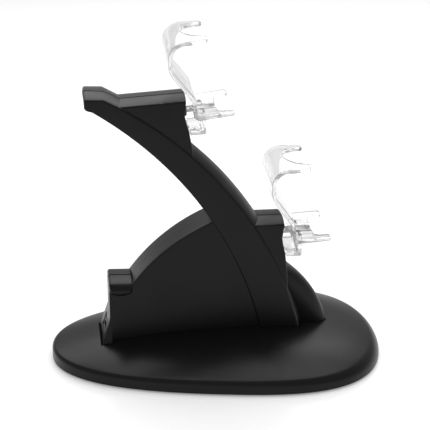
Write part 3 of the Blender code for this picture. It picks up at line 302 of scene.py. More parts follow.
# Screws and feet
SCREW_HEAD_RADIUS = 2.6 * MM
SCREW_HEAD_HEIGHT = 0.9 * MM
SCREW_SHANK_RADIUS = 1.0 * MM
SCREW_LENGTH = 8.0 * MM
THREAD_START = 0.5 * MM
THREAD_END = 1.4 * MM
THREAD_PITCH = 0.6 * MM
THREAD_ROOT = 0.72
RECESS_WIDTH = 0.5 * MM
RECESS_LENGTH = 2.4 * MM
RECESS_DEPTH = 0.55 * MM
FOOT_RADIUS = 6.5 * MM
FOOT_THICKNESS = 1.5 * MM
SCATTER_SEED = 7

# Places of the Random Value node's highest number, and of the number that it gives
RANDOM_MOST = 3
RANDOM_NUMBER = 1


# Sizes and colours a user would change

class StationFinish(bpy.types.PropertyGroup):
    black: FloatVectorProperty(
        name="Black plastic", description="Colour of the stand and the base", subtype="COLOR", size=4,
        default=(0.006, 0.006, 0.0064, 1.0), min=0.0, max=1.0)
    gloss: FloatProperty(
        name="Roughness", description="Roughness of the black plastic", subtype="FACTOR",
        default=0.3, min=0.02, max=1.0)
    clear: FloatVectorProperty(
        name="Clear plastic", description="Tint of the clear brackets", subtype="COLOR", size=4,
        default=(0.94, 0.944, 0.948, 1.0), min=0.0, max=1.0)


class StationShape(bpy.types.PropertyGroup):
    base_sides: IntProperty(
        name="Base sides", description="Faces round the base's rim", default=180, min=24, max=720)
    arc_steps: IntProperty(
        name="Arc steps", description="Faces along each long arc of the stand", default=56, min=8, max=200)
    seam_chamfer: FloatProperty(
        name="Seam chamfer", description="How far the edges of the seam are broken", unit="LENGTH",
        default=0.45 * MM, min=0.05 * MM, max=1.5 * MM)
    bracket_edge: FloatProperty(
        name="Bracket edge", description="Radius of the clear brackets' edges", unit="LENGTH",
        default=0.7 * MM, min=0.05 * MM, max=1.1 * MM)


def finish():
    return bpy.context.scene.station_finish


def shape():
    return bpy.context.scene.station_shape


# Points and outlines

def arc(centre, radius, start, end, count):
    steps = [start + (end - start) * i / count for i in range(count + 1)]
    return [(centre[0] + radius * math.cos(a), centre[1] + radius * math.sin(a)) for a in steps]


def above(centre, radius, x):
    """The point of a circle's upper half at this x."""
    return x, centre[1] + math.sqrt(radius ** 2 - (x - centre[0]) ** 2)


def circle_reach(centre, radius, z):
    return centre[0] + math.sqrt(radius ** 2 - (z - centre[1]) ** 2)


def arc_between(centre, radius, first, last):
    start = math.atan2(first[1] - centre[1], first[0] - centre[0])
    end = math.atan2(last[1] - centre[1], last[0] - centre[0])
    return arc(centre, radius, start, end, shape().arc_steps)


def upper_arc(centre, radius, first_x, last_x):
    return arc_between(centre, radius, above(centre, radius, first_x), above(centre, radius, last_x))


def rounded_path(corners, step=math.radians(7)):
    """A path through corners (x, z, radius), each turned on its own radius."""
    path = []
    for i, (x, z, radius) in enumerate(corners):
        if radius == 0:
            path.append((x, z))
            continue
        here = Vector((x, z))
        back = (Vector(corners[i - 1][:2]) - here).normalized()
        ahead = (Vector(corners[(i + 1) % len(corners)][:2]) - here).normalized()
        half = back.angle(ahead) / 2
        centre = here + (back + ahead).normalized() * radius / math.sin(half)
        first = here + back * radius / math.tan(half) - centre
        last = here + ahead * radius / math.tan(half) - centre
        turn = math.atan2(first.x * last.y - first.y * last.x, first.dot(last))
        start = math.atan2(first.y, first.x)
        path += arc(centre, radius, start, start + turn, max(2, round(abs(turn) / step)))
    return path


def signed_area(points):
    pairs = zip(points, points[1:] + points[:1])
    return sum(a[0] * b[1] - b[0] * a[1] for a, b in pairs) / 2


def moved_outline(points, distances):
    """The outline with each corner moved in by its own distance."""
    turn = 1 if signed_area(points) > 0 else -1
    moved = []
    for i, here in enumerate(points):
        before = Vector(here) - Vector(points[i - 1])
        after = Vector(points[(i + 1) % len(points)]) - Vector(here)
        n1 = Vector((before.y, -before.x)).normalized() * turn
        n2 = Vector((after.y, -after.x)).normalized() * turn
        out = (n1 + n2) / max(SHARPEST_MITRE, 1 + n1.dot(n2))
        moved.append(tuple(Vector(here) - out * distances[i]))
    return moved


def inset(outline, distance):
    return moved_outline(outline, [distance] * len(outline))


# Mesh makers

def in_scene(name, data):
    """A new object that shows this mesh, curve, light or camera."""
    made = bpy.data.objects.new(name, data)
    bpy.context.scene.collection.objects.link(made)
    return made


def face_out(data):
    """Turns every face of a closed body outwards."""
    bmesh.ops.recalc_face_normals(data, faces=data.faces)
    if data.calc_volume(signed=True) < 0:
        bmesh.ops.reverse_faces(data, faces=data.faces)


def reshape(made, change):
    """Runs one change on an object's mesh and leaves its faces pointing outwards."""
    data = bmesh.new()
    data.from_mesh(made.data)
    change(data)
    face_out(data)
    data.to_mesh(made.data)
    data.free()
    return made


def mesh_object(name, build):
    return reshape(in_scene(name, bpy.data.meshes.new(name)), build)


def join_rings(data, rings):
    """Faces from each ring of points to the next, and over both ends."""
    rows = [[data.verts.new(point) for point in ring] for ring in rings]
    count = len(rows[0])
    for low, high in zip(rows, rows[1:]):
        for i in range(count):
            j = (i + 1) % count
            data.faces.new((low[i], low[j], high[j], high[i]))
    data.faces.new(list(reversed(rows[0])))
    data.faces.new(rows[-1])


def loft(name, rings):
    """A closed body through rings of equal count."""
    def build(data):
        join_rings(data, rings)
        data.normal_update()
        bmesh.ops.triangulate(data, faces=data.faces)
    return mesh_object(name, build)


def turned(name, profile, steps=40):
    """A body turned from a profile (radius, z) about the upright axis."""
    angles = [2 * math.pi * i / steps for i in range(steps)]
    rings = [[(radius * math.cos(a), radius * math.sin(a), z) for a in angles] for radius, z in profile]
    return mesh_object(name, lambda data: join_rings(data, rings))


def side_slices(half_width, edge_radius, chamfer):
    """Places across Y with how far the outline is drawn in there, rounded edges and seam included."""
    half = []
    for degrees in SIDE_EDGE_TURNS:
        a = math.radians(degrees)
        half.append((half_width - edge_radius * (1 - math.sin(a)), edge_radius * (1 - math.cos(a))))
    half += [((half_width - edge_radius) * share, 0.0) for share in SIDE_SHARES]
    if chamfer:
        half += [(SEAM / 2 + chamfer, 0.0), (SEAM / 2, chamfer)]
    return [(-y, d) for y, d in half] + [(y, d) for y, d in reversed(half)]


def slab(name, outline, half_width, edge_radius, crown=0.0, chamfer=None):
    """A body of one side outline (x, z, share of the crown), with rounded side edges."""
    flat = [(x, z) for x, z, share in outline]
    chamfer = shape().seam_chamfer if chamfer is None else chamfer
    rings = []
    for y, drawn_in in side_slices(half_width, edge_radius, chamfer):
        lift = crown * (1 - (y / half_width) ** 2)
        distances = [drawn_in - share * lift for x, z, share in outline]
        rings.append([(x, y, z) for x, z in moved_outline(flat, distances)])
    return loft(name, rings)


def hollow(name, outline, half_width):
    """The room inside a slab's walls."""
    inner = inset([(x, z) for x, z, share in outline], STAND_WALL)
    reach = half_width - STAND_WALL
    return loft(name, [[(x, y, z) for x, z in inner] for y in (-reach, reach)])


def prism(name, outline, low, high):
    return loft(name, [[(x, y, z) for x, y in outline] for z in (low, high)])


def block(name, low, high):
    def build(data):
        bmesh.ops.create_cube(data, size=1.0)
        for vert in data.verts:
            share = [c + 0.5 for c in vert.co]
            vert.co = [a + (b - a) * s for a, b, s in zip(low, high, share)]
    return mesh_object(name, build)


def bar(name, start, end, half_width, low, high):
    """A block from start to end along X, even on both sides of the middle."""
    return block(name, (start, -half_width, low), (end, half_width, high))


def round_edges(made, width, segments):
    corner = made.modifiers.new("corners", "BEVEL")
    corner.width = width
    corner.segments = segments
    return made


def turned_to(made, at, tilt):
    """Puts a piece made in a head's own frame where that frame is. Its place goes into its mesh."""
    angle = math.radians(tilt)
    for vert in made.data.vertices:
        x, y, z = vert.co
        vert.co = (at[0] + x * math.cos(angle) - z * math.sin(angle), y,
                   at[1] + x * math.sin(angle) + z * math.cos(angle))
    return made


def combine(target, others, operation, solver="EXACT"):
    for other in others:
        step = target.modifiers.new(other.name, "BOOLEAN")
        step.operation = operation
        step.object = other
        step.solver = solver


def bake(made, smooth=30.0):
    """Turns the evaluated object into a plain mesh, and shades it smooth up to an angle."""
    deps = bpy.context.evaluated_depsgraph_get()
    mesh = bpy.data.meshes.new_from_object(made.evaluated_get(deps), depsgraph=deps)
    mesh.name = made.name
    made.modifiers.clear()
    if made.type == "MESH":
        made.data = mesh
        baked = made
    else:
        name = made.name
        discard([made])
        baked = in_scene(name, mesh)
    mesh.shade_smooth()
    mesh.set_sharp_from_angle(angle=math.radians(smooth))
    return baked


def discard(items):
    for item in items:
        bpy.data.objects.remove(item, do_unlink=True)


def dress(made, look, nodes):
    """Gives a finished piece its material and ties it to the frame."""
    made.data.materials.clear()
    made.data.materials.append(look)
    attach(made, "root")
    if nodes:
        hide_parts(*nodes)


# Materials

def add_node(tree, kind, values=None, **settings):
    """A new node with these settings, and these values in its sockets."""
    made = tree.nodes.new(kind)
    for name, setting in settings.items():
        setattr(made, name, setting)
    for name, value in (values or {}).items():
        made.inputs[name].default_value = value
    return made


def join(tree, *wires):
    """Links each (node, its output, next node, its input)."""
    for source, output, target, socket in wires:
        tree.links.new(source.outputs[output], target.inputs[socket])


def surface_group(name, values):
    """A group with these inputs and their usual values, that puts out a roughness and a height."""
    group = bpy.data.node_groups.new(name, "ShaderNodeTree")
    for label, value in values.items():
        socket = group.interface.new_socket(label, in_out="INPUT", socket_type="NodeSocketFloat")
        socket.default_value = value
    for label in ("Roughness", "Height"):
        group.interface.new_socket(label, in_out="OUTPUT", socket_type="NodeSocketFloat")
    return group, add_node(group, "NodeGroupInput"), add_node(group, "NodeGroupOutput")


def moulded_group():
    """Shared by every moulded finish: a softly cloudy gloss and a fine grain."""
    found = bpy.data.node_groups.get("moulded_surface")
    if found:
        return found
    usual = {"Grain scale": 2500.0, "Cloud scale": 60.0, "Smooth": 0.25, "Rough": 0.4}
    group, inputs, outputs = surface_group("moulded_surface", usual)
    place = add_node(group, "ShaderNodeTexCoord")
    cloud = add_node(group, "ShaderNodeTexNoise", {"Detail": 1.0})
    grain = add_node(group, "ShaderNodeTexNoise", {"Detail": 1.0})
    spread = add_node(group, "ShaderNodeMapRange", CLOUD_REACH, interpolation_type="SMOOTHSTEP")
    join(group,
         (place, "Object", cloud, "Vector"), (inputs, "Cloud scale", cloud, "Scale"),
         (place, "Object", grain, "Vector"), (inputs, "Grain scale", grain, "Scale"),
         (cloud, "Fac", spread, "Value"), (grain, "Fac", outputs, "Height"),
         (inputs, "Smooth", spread, "To Min"), (inputs, "Rough", spread, "To Max"),
         (spread, "Result", outputs, "Roughness"))
    return group


def drawn_group():
    """Shared by both metals: fine streaks along X in the gloss and the height."""
    found = bpy.data.node_groups.get("drawn_surface")
    if found:
        return found
    usual = {"Streak scale": 5000.0, "Smooth": 0.2, "Rough": 0.4}
    group, inputs, outputs = surface_group("drawn_surface", usual)
    place = add_node(group, "ShaderNodeTexCoord")
    stretch = add_node(group, "ShaderNodeMapping", {"Scale": (STREAK_STRETCH, 1.0, 1.0)})
    streaks = add_node(group, "ShaderNodeTexNoise")
    spread = add_node(group, "ShaderNodeMapRange")
    join(group,
         (place, "Object", stretch, "Vector"), (stretch, "Vector", streaks, "Vector"),
         (inputs, "Streak scale", streaks, "Scale"),
         (streaks, "Fac", spread, "Value"), (streaks, "Fac", outputs, "Height"),
         (inputs, "Smooth", spread, "To Min"), (inputs, "Rough", spread, "To Max"),
         (spread, "Result", outputs, "Roughness"))
    return group


def new_material(name, values):
    """A material whose Principled shader has these values."""
    made = bpy.data.materials.new(name)
    made.use_nodes = True
    shader = made.node_tree.nodes["Principled BSDF"]
    for label, value in values.items():
        shader.inputs[label].default_value = value
    return made, made.node_tree, shader


def bump_from(tree, shader, source, output, strength, depth):
    bump = add_node(tree, "ShaderNodeBump", {"Strength": strength, "Distance": depth})
    join(tree, (source, output, bump, "Height"), (bump, "Normal", shader, "Normal"))


def grouped_material(name, values, group, group_values, strength, depth):
    """A material that takes its gloss and its bump from a shared group."""
    made, tree, shader = new_material(name, values)
    surface = add_node(tree, "ShaderNodeGroup", group_values, node_tree=group)
    join(tree, (surface, "Roughness", shader, "Roughness"))
    bump_from(tree, shader, surface, "Height", strength, depth)
    return made


def moulded_material(name, colour, smooth, rough, grain_scale=2500.0, grain_depth=0.01, specular=0.5):
    """A moulded plastic or rubber. The grain's depth is in millimetres."""
    return grouped_material(
        name, {"Base Color": colour, "Specular IOR Level": specular}, moulded_group(),
        {"Grain scale": grain_scale, "Smooth": smooth, "Rough": rough}, MOULDED_BUMP, grain_depth * MM)


def metal_material(name, colour, smooth, rough, scale):
    """Plated or plain metal, drawn along X."""
    return grouped_material(
        name, {"Base Color": colour, "Metallic": 1.0}, drawn_group(),
        {"Streak scale": scale, "Smooth": smooth, "Rough": rough}, STREAK_BUMP, STREAK_DEPTH)


def black_plastic(name):
    gloss = finish().gloss
    return moulded_material(name, finish().black, gloss - BLACK_GLOSS_BELOW, gloss + BLACK_GLOSS_ABOVE,
                            grain_depth=BLACK_GRAIN_DEPTH, specular=BLACK_SPECULAR)


def clear_plastic(name):
    """Polished clear plastic with faint flow marks from the mould."""
    made, tree, shader = new_material(name, {"Base Color": finish().clear, **CLEAR_LOOK})
    place = add_node(tree, "ShaderNodeTexCoord")
    flow = add_node(tree, "ShaderNodeTexNoise", {"Scale": FLOW_SCALE})
    join(tree, (place, "Object", flow, "Vector"))
    bump_from(tree, shader, flow, "Fac", FLOW_BUMP, FLOW_DEPTH)
    return made


def board_material(name):
    """Lacquered circuit board: copper tracks show through green lacquer."""
    made, tree, shader = new_material(name, {"Roughness": BOARD_ROUGHNESS})
    place = add_node(tree, "ShaderNodeTexCoord")
    tracks = add_node(tree, "ShaderNodeTexBrick", TRACKS)
    join(tree, (place, "Object", tracks, "Vector"), (tracks, "Color", shader, "Base Color"))
    bump_from(tree, shader, tracks, "Fac", TRACK_BUMP, TRACK_DEPTH)
    return made


def material(slot):
    """The finish for one of the record's slots, made the first time it is asked for."""
    name = f"{slot}_finish"
    found = bpy.data.materials.get(name)
    if found:
        return found
    black = finish().black
    makers = {"black_plastic": black_plastic, "clear_plastic": clear_plastic, "board_green": board_material}
    # Colour, lowest and highest roughness, grain scale, grain depth in millimetres
    moulded = {
        "tray_plastic": (black, 0.42, 0.58, 1500.0, 0.03),
        "plug_moulding": (black, 0.38, 0.5, 3500.0, 0.02),
        "lead_sheath": (black, 0.45, 0.6, 3000.0, 0.02),
        "foot_rubber": ((0.018, 0.018, 0.018, 1.0), 0.7, 0.85, 1800.0, 0.05),
        "lamp": ((0.82, 0.82, 0.76, 1.0), 0.15, 0.25, 2000.0, 0.01),
    }
    # Colour, lowest and highest roughness, streak scale
    metals = {
        "plug_metal": ((0.4, 0.4, 0.39, 1.0), 0.14, 0.26, 6000.0),
        "screw_steel": ((0.5, 0.5, 0.49, 1.0), 0.28, 0.45, 4000.0),
    }
    if slot in moulded:
        return moulded_material(name, *moulded[slot])
    if slot in metals:
        return metal_material(name, *metals[slot])
    return makers[slot](name)


# Base

def plan_half_width(x):
    u = max(-1.0, min(1.0, x / BASE_HALF_LENGTH))
    fullness = BASE_HALF_WIDTH + BASE_FRONT_FULLNESS * u + BASE_END_FULLNESS * u * u
    return fullness * (1 - abs(u) ** BASE_PLAN_POWER) ** BASE_PLAN_ROOT


def plan_outline(sides):
    """The base seen from above, no wider than the solids."""
    points = []
    for i in range(sides):
        a = 2 * math.pi * i / sides
        x = BASE_HALF_LENGTH * math.cos(a)
        y = math.copysign(plan_half_width(x), math.sin(a)) if 0 < i != sides // 2 else 0.0
        points.append((x, y))
    widest = max(y for x, y in points)
    fit = min(1.0, CAD_BOX[1][1] / widest)
    return [(x, y * fit) for x, y in points]


def dome_height(x, y, share):
    fullness = DOME_FULLNESS + DOME_FRONT_FULLNESS * x / max(math.hypot(x, y), MM)
    return BASE_EDGE_HEIGHT + BASE_DOME_RISE * (1 - share ** fullness)


def edge_radius_at(x, y):
    front = max(0.0, x / max(math.hypot(x, y), MM))
    return BASE_EDGE_RADIUS + (BASE_FRONT_EDGE_RADIUS - BASE_EDGE_RADIUS) * front ** 2


def base_rings(outline):
    """Rings of the base's outer skin, from near the middle out and down to its lower edge."""
    rings = []
    for i in range(1, DOME_RINGS):
        share = i / DOME_RINGS
        rings.append([(x * share, y * share, dome_height(x, y, share)) for x, y in outline])
    for step in range(EDGE_RINGS + 1):
        turn = math.radians(90 * step / EDGE_RINGS)
        ring = []
        for x, y in outline:
            radius = edge_radius_at(x, y)
            share = 1 - radius * (1 - math.sin(turn)) / math.hypot(x, y)
            ring.append((x * share, y * share, dome_height(x, y, share) - radius * (1 - math.cos(turn))))
        rings.append(ring)
    rings.append([(x, y, BASE_SKIRT_BOTTOM) for x, y in outline])
    return rings


def base_skin(data):
    outline = plan_outline(shape().base_sides)
    rows = [[data.verts.new(point) for point in ring] for ring in base_rings(outline)]
    middle = data.verts.new((0, 0, BASE_EDGE_HEIGHT + BASE_DOME_RISE))
    count = len(outline)
    for i in range(count):
        j = (i + 1) % count
        data.faces.new((middle, rows[0][i], rows[0][j]))
        for inner, outer in zip(rows, rows[1:]):
            data.faces.new((inner[i], outer[i], outer[j], inner[j]))


class StationBase(bpy.types.Operator):
    """Make the domed base with its rounded rim and the opening that the stand drops through"""
    bl_idname = "station.base"
    bl_label = "Base"

    def execute(self, context):
        cover = mesh_object("base_dome", base_skin)
        wall = cover.modifiers.new("wall", "SOLIDIFY")
        wall.thickness = BASE_WALL
        wall.offset = -1
        opening = prism("stand_opening", footprint(PLINTH_STEP + GAP), 0, OPENING_TOP)
        combine(cover, [opening], "DIFFERENCE")
        cover = bake(cover, BASE_SMOOTH)
        discard([opening])
        dress(cover, material("black_plastic"), ["base_cover"])
        return {"FINISHED"}


# Stand

def flare_size(z):
    share = (FLARE_TOP - z) / (FLARE_TOP - FLARE_BOTTOM)
    half = FAIRING_HALF_WIDTH + (FLARE_HALF_WIDTH - FAIRING_HALF_WIDTH) * share
    return POST_REAR - FLARE_REACH * share, half


def arm_foot():
    return circle_reach(*ARM_REAR, ARM_FOOT_TOP), circle_reach(*ARM_FRONT, ARM_FOOT_TOP) + ARM_FOOT_PROUD


def toe_section(root, front, half_width, steps=24):
    points = []
    for i in range(steps + 1):
        a = -math.pi / 2 + math.pi * i / steps
        x = root + (front - root) * max(math.cos(a), 0.0) ** TOE_BLUNTNESS
        points.append((x, half_width * math.sin(a)))
    return points


def footprint(grow):
    rear, flare_half = flare_size(PLINTH_TOP)
    arm_rear, arm_front = arm_foot()
    toe_front = circle_reach(*TOE, ARM_FOOT_TOP)
    side = [(rear, -flare_half), (FLARE_FRONT, -flare_half), (FLARE_FRONT, -FAIRING_HALF_WIDTH),
            (arm_rear, -FAIRING_HALF_WIDTH), (arm_rear, -ARM_HALF_WIDTH), (arm_front, -ARM_HALF_WIDTH)]
    outline = side + toe_section(arm_front, toe_front, TOE_HALF_WIDTH)
    outline += [(x, -y) for x, y in reversed(side)]
    return inset(outline, -grow)


def arm_edges(front_x, rear_x):
    """The arm's front edge from front_x down to the foot, and its rear edge from there up to rear_x."""
    foot_rear, foot_front = arm_foot()
    front = arc_between(*ARM_FRONT, above(*ARM_FRONT, front_x), (foot_front, ARM_FOOT_TOP))
    rear = arc_between(*ARM_REAR, (foot_rear, ARM_FOOT_TOP), above(*ARM_REAR, rear_x))
    return front, rear


def nose_share(z):
    return NOSE_CROWN_SHARE * min(1.0, max(0.0, (z - NOSE_TOP) / NOSE_RADIUS + 1))


def arm_outline():
    steps = shape().arc_steps
    rear_x = NOSE_REAR + NOSE_HEEL
    heel = (*above(*ARM_REAR, rear_x), 0)
    front, rear = arm_edges(NOSE_SLOPE_START + NOSE_SLOPE_LENGTH, rear_x)
    nose = rounded_path([heel, (NOSE_REAR, NOSE_TOP - NOSE_HEIGHT, NOSE_HEEL_RADIUS),
                         (NOSE_REAR, NOSE_TOP, NOSE_RADIUS), (*NOSE_FLAT_END, 0)], math.radians(12))[1:]
    outline = [(x, z, nose_share(z)) for x, z in nose]
    for i, (x, z) in enumerate(front[:-1]):
        outline.append((x, z, min(1.0, ARM_CROWN_START + ARM_CROWN_GROWTH * i / steps)))
    foot_rear, foot_front = arm_foot()
    low = PLINTH_BOTTOM + BURIED
    outline += [(foot_front, ARM_FOOT_TOP, 0.0), (foot_front, low, 0.0), (foot_rear, low, 0.0)]
    outline += [(x, z, 0.0) for x, z in rear]
    return outline


def arm_hollow_outline():
    start = NOSE_REAR + NOSE_FLAT
    front, rear = arm_edges(start, start)
    foot_rear, foot_front = arm_foot()
    outline = front + [(foot_front, BELOW_STAND), (foot_rear, BELOW_STAND)] + rear
    return [(x, z, 0.0) for x, z in outline]


def head_outline(shelf, lip=True):
    front = list(HEAD_FACE)
    if lip:
        front += arc((-LIP_RADIUS, -LIP_RADIUS), LIP_RADIUS, 0, math.pi / 2, LIP_STEPS)
    else:
        front.append((0.0, 0.0))
    rear = -shelf - HEAD_PAST_SHELF
    outline = [(x, z, max(0.0, z / LIP_RADIUS + 1)) for x, z in front]
    outline += [(-shelf / 2, 0.0, 1.0), (rear, 0.0, 1.0)]
    outline += [(rear, HEAD_REAR_DROP, 0.0), (0.0, HEAD_ROOT, 0.0)]
    return outline


def fairing_outline(rear, low):
    """Side view of the fairing, which reaches forward into the arm."""
    roof = upper_arc(FAIRING_CENTRE, FAIRING_RADIUS, FAIRING_JOIN, POST_FRONT)
    shoulder = POST_TOP - LEDGE_DEPTH / 2
    rest = [(POST_FRONT, shoulder), (rear, shoulder), (rear, low), (FAIRING_FRONT, low),
            (FAIRING_FRONT, FAIRING_FRONT_TOP)]
    return [(x, z, 0.0) for x, z in roof + rest]


def ledge_outline():
    """Side view of the thumb ledge: a flat top with rounded ends and a belly below."""
    low = POST_TOP - LEDGE_DEPTH
    corners = [(LEDGE_REAR, low + LEDGE_BELLY, LEDGE_LOW_RADIUS),
               ((LEDGE_REAR + LEDGE_FRONT) / 2, low, LEDGE_BELLY_RADIUS),
               (LEDGE_FRONT, low + LEDGE_BELLY, LEDGE_LOW_RADIUS),
               (LEDGE_FRONT, POST_TOP, LEDGE_FRONT_RADIUS),
               (LEDGE_REAR, POST_TOP + LEDGE_RISE, LEDGE_REAR_RADIUS)]
    return rounded_path(corners, math.radians(10))


def make_ledge():
    """The thumb ledge, whose outline shrinks towards its middle as its ends round off."""
    middle_x = (LEDGE_REAR + LEDGE_FRONT) / 2
    middle_z = POST_TOP - LEDGE_DEPTH / 2
    rings = []
    for y, drawn_in in side_slices(LEDGE_HALF_WIDTH, LEDGE_END_RADIUS, shape().seam_chamfer):
        lift = HEAD_CROWN * (1 - (y / LEDGE_HALF_WIDTH) ** 2)
        narrow = 1 - drawn_in / (LEDGE_FRONT - LEDGE_REAR)
        low = 1 - drawn_in / (LEDGE_DEPTH / 2)
        ring = []
        for x, z in ledge_outline():
            share = (z - middle_z) / LEDGE_DEPTH + 0.5
            height = middle_z + (z - middle_z) * low + lift * share
            ring.append((middle_x + (x - middle_x) * narrow, y, height))
        rings.append(ring)
    return loft("ledge", rings)


def make_flare():
    rings = []
    for z in (PLINTH_TOP - GAP, FLARE_TOP):
        rear, half = flare_size(z)
        rings.append([(rear, -half, z), (FLARE_FRONT, -half, z), (FLARE_FRONT, half, z), (rear, half, z)])
    return loft("flare", rings)


def make_toe():
    """The toe in front of the arm's foot, which widens as it leans back into the arm."""
    arm_front = arm_foot()[1]
    top = TOE[0][1] + TOE_RISE * TOE[1]
    rise = top - ARM_FOOT_TOP
    heights = [PLINTH_TOP - BURIED] + [ARM_FOOT_TOP + rise * i / TOE_RINGS for i in range(TOE_RINGS + 1)]
    rings = []
    for z in heights:
        level = max(z, ARM_FOOT_TOP)
        share = (level - ARM_FOOT_TOP) / rise
        arm = circle_reach(*ARM_FRONT, level) + ARM_FOOT_PROUD * (1 - share)
        root = min(arm, arm_front)
        front = max(circle_reach(*TOE, level), root + TOE_LEAST)
        half = TOE_HALF_WIDTH * (1 + TOE_WIDENING * share)
        inner = root - TOE_ROOT
        section = toe_section(root, front, half)
        rings.append([(inner, -half, z)] + [(x, y, z) for x, y in section] + [(inner, half, z)])
    return loft("toe", rings)


def stand_masses():
    """Everything that the arm is joined to."""
    masses = []
    for name, (at, tilt) in HEADS.items():
        outline = head_outline(SHELVES[name])
        head = slab(f"{name}_head", outline, HEAD_HALF_WIDTH, HEAD_EDGE_RADIUS, HEAD_CROWN)
        masses.append(turned_to(head, at, tilt))
    fairing = fairing_outline(POST_REAR, PLINTH_BOTTOM + BURIED)
    masses.append(slab("fairing", fairing, FAIRING_HALF_WIDTH, FAIRING_EDGE_RADIUS, chamfer=0.0))
    masses += [make_ledge(), make_flare(), make_toe()]
    masses.append(prism("plinth", footprint(PLINTH_STEP), PLINTH_BOTTOM, PLINTH_TOP))
    return masses


def stand_hollows():
    spaces = [hollow("arm_hollow", arm_hollow_outline(), ARM_HALF_WIDTH)]
    for name, (at, tilt) in HEADS.items():
        space = hollow(f"{name}_head_hollow", head_outline(SHELVES[name], False), HEAD_HALF_WIDTH)
        spaces.append(turned_to(space, at, tilt))
    rear = POST_REAR + INLET_RECESS_DEPTH + INLET_FLOOR - FLARE_REACH / 2 - STAND_WALL
    spaces.append(hollow("fairing_hollow", fairing_outline(rear, BELOW_STAND), FAIRING_HALF_WIDTH))
    return spaces


def inlet_place():
    """Where the inlet's own frame is, and how far it leans."""
    lean = math.atan2(FLARE_REACH, FLARE_TOP - FLARE_BOTTOM)
    return (POST_REAR - FLARE_REACH / 2, (FLARE_TOP + FLARE_BOTTOM) / 2), -math.degrees(lean)


def plug_window(name, start, end):
    """Room for a plug's moulding, in the head's own frame."""
    half_height = PLUG_BODY_HEIGHT / 2 + GAP
    return bar(name, start, end, PLUG_BODY_WIDTH / 2 + GAP, PLUG_HEIGHT - half_height,
               PLUG_HEIGHT + half_height)


def stand_openings():
    """Windows for the plugs and the brackets' tongues, and the inlet's recess and slot."""
    openings = []
    for name, (at, tilt) in HEADS.items():
        window = plug_window(f"{name}_window", -WINDOW_REACH, WINDOW_REACH)
        slot = bar(f"{name}_slot", -WINDOW_REACH, WINDOW_REACH, TONGUE_HALF_WIDTH + GAP,
                   TAIL_BOTTOM - GAP, TAIL_BOTTOM + BRACKET_THICKNESS + GAP)
        openings += [turned_to(window, at, tilt), turned_to(slot, at, tilt)]
    outside = -10 * MM
    recess = bar("inlet_recess", outside, INLET_RECESS_SHOWN, INLET_RECESS_HALF_WIDTH,
                 -INLET_RECESS_HALF_HEIGHT, INLET_RECESS_HALF_HEIGHT)
    recess = bake(round_edges(recess, INLET_RECESS_CORNER, 3))
    half_height = INLET_HEIGHT / 2 + GAP
    slot = bar("inlet_slot", outside, INLET_SLOT_DEPTH, INLET_WIDTH / 2 + GAP, -half_height, half_height)
    return openings + [turned_to(recess, *inlet_place()), turned_to(slot, *inlet_place())]


def roof_lip(name, side):
    """Where a half reaches almost to the middle, so that the seam closes along the fairing's roof."""
    outline = upper_arc(FAIRING_CENTRE, FAIRING_RADIUS - LIP_DROP, FAIRING_JOIN, POST_FRONT)
    outline += upper_arc(FAIRING_CENTRE, FAIRING_RADIUS - LIP_DEPTH, POST_FRONT, FAIRING_JOIN)
    return loft(name, [[(x, side * y, z) for x, z in outline] for y in (LIP_GAP / 2, SEAM)])


class StationStand(bpy.types.Operator):
    """Make the two moulded halves of the stand, with the seam between them"""
    bl_idname = "station.stand"
    bl_label = "Stand"

    def execute(self, context):
        masses = stand_masses()
        spaces = stand_hollows() + stand_openings()
        for name, node, side in (("stand_half_left", "stand_shell_left", 1),
                                 ("stand_half_right", "stand_shell_right", -1)):
            half = slab(name, arm_outline(), ARM_HALF_WIDTH, ARM_EDGE_RADIUS, ARM_CROWN)
            low, high = sorted((side * SEAM / 2, -side * CUT_REACH))
            other_side = block(f"{name}_seam", (-CUT_REACH, low, -CUT_REACH),
                               (CUT_REACH, high, CUT_REACH + OPENING_TOP))
            lip = roof_lip(f"{name}_lip", side)
            combine(other_side, [lip], "DIFFERENCE", "MANIFOLD")
            combine(half, masses, "UNION", "MANIFOLD")
            combine(half, spaces + [other_side], "DIFFERENCE", "MANIFOLD")
            half = bake(half, STAND_SMOOTH)
            discard([other_side, lip])
            dress(half, material("black_plastic"), [node])
        discard(masses + spaces)
        return {"FINISHED"}


# Clear brackets

def bracket_profile():
    """Middle line of the bracket's strip, from the prong tips up to the fork tips."""
    corners = [(PRONG_REACH, PRONG_HEIGHT, 0), (STRIP_FRONT, PRONG_HEIGHT, PRONG_BEND_RADIUS), STRIP_KNEE,
               (BRACKET_BACK, BRACKET_WAIST, WAIST_BEND_RADIUS),
               (BRACKET_BACK, FORK_HEIGHT, FORK_BEND_RADIUS), (FORK_REACH, FORK_HEIGHT, 0)]
    return [Vector(point) for point in rounded_path(corners, math.radians(5))]


def along(path):
    """Distance along the path to each of its points."""
    places = [0.0]
    for a, b in zip(path, path[1:]):
        places.append(places[-1] + (b - a).length)
    return places


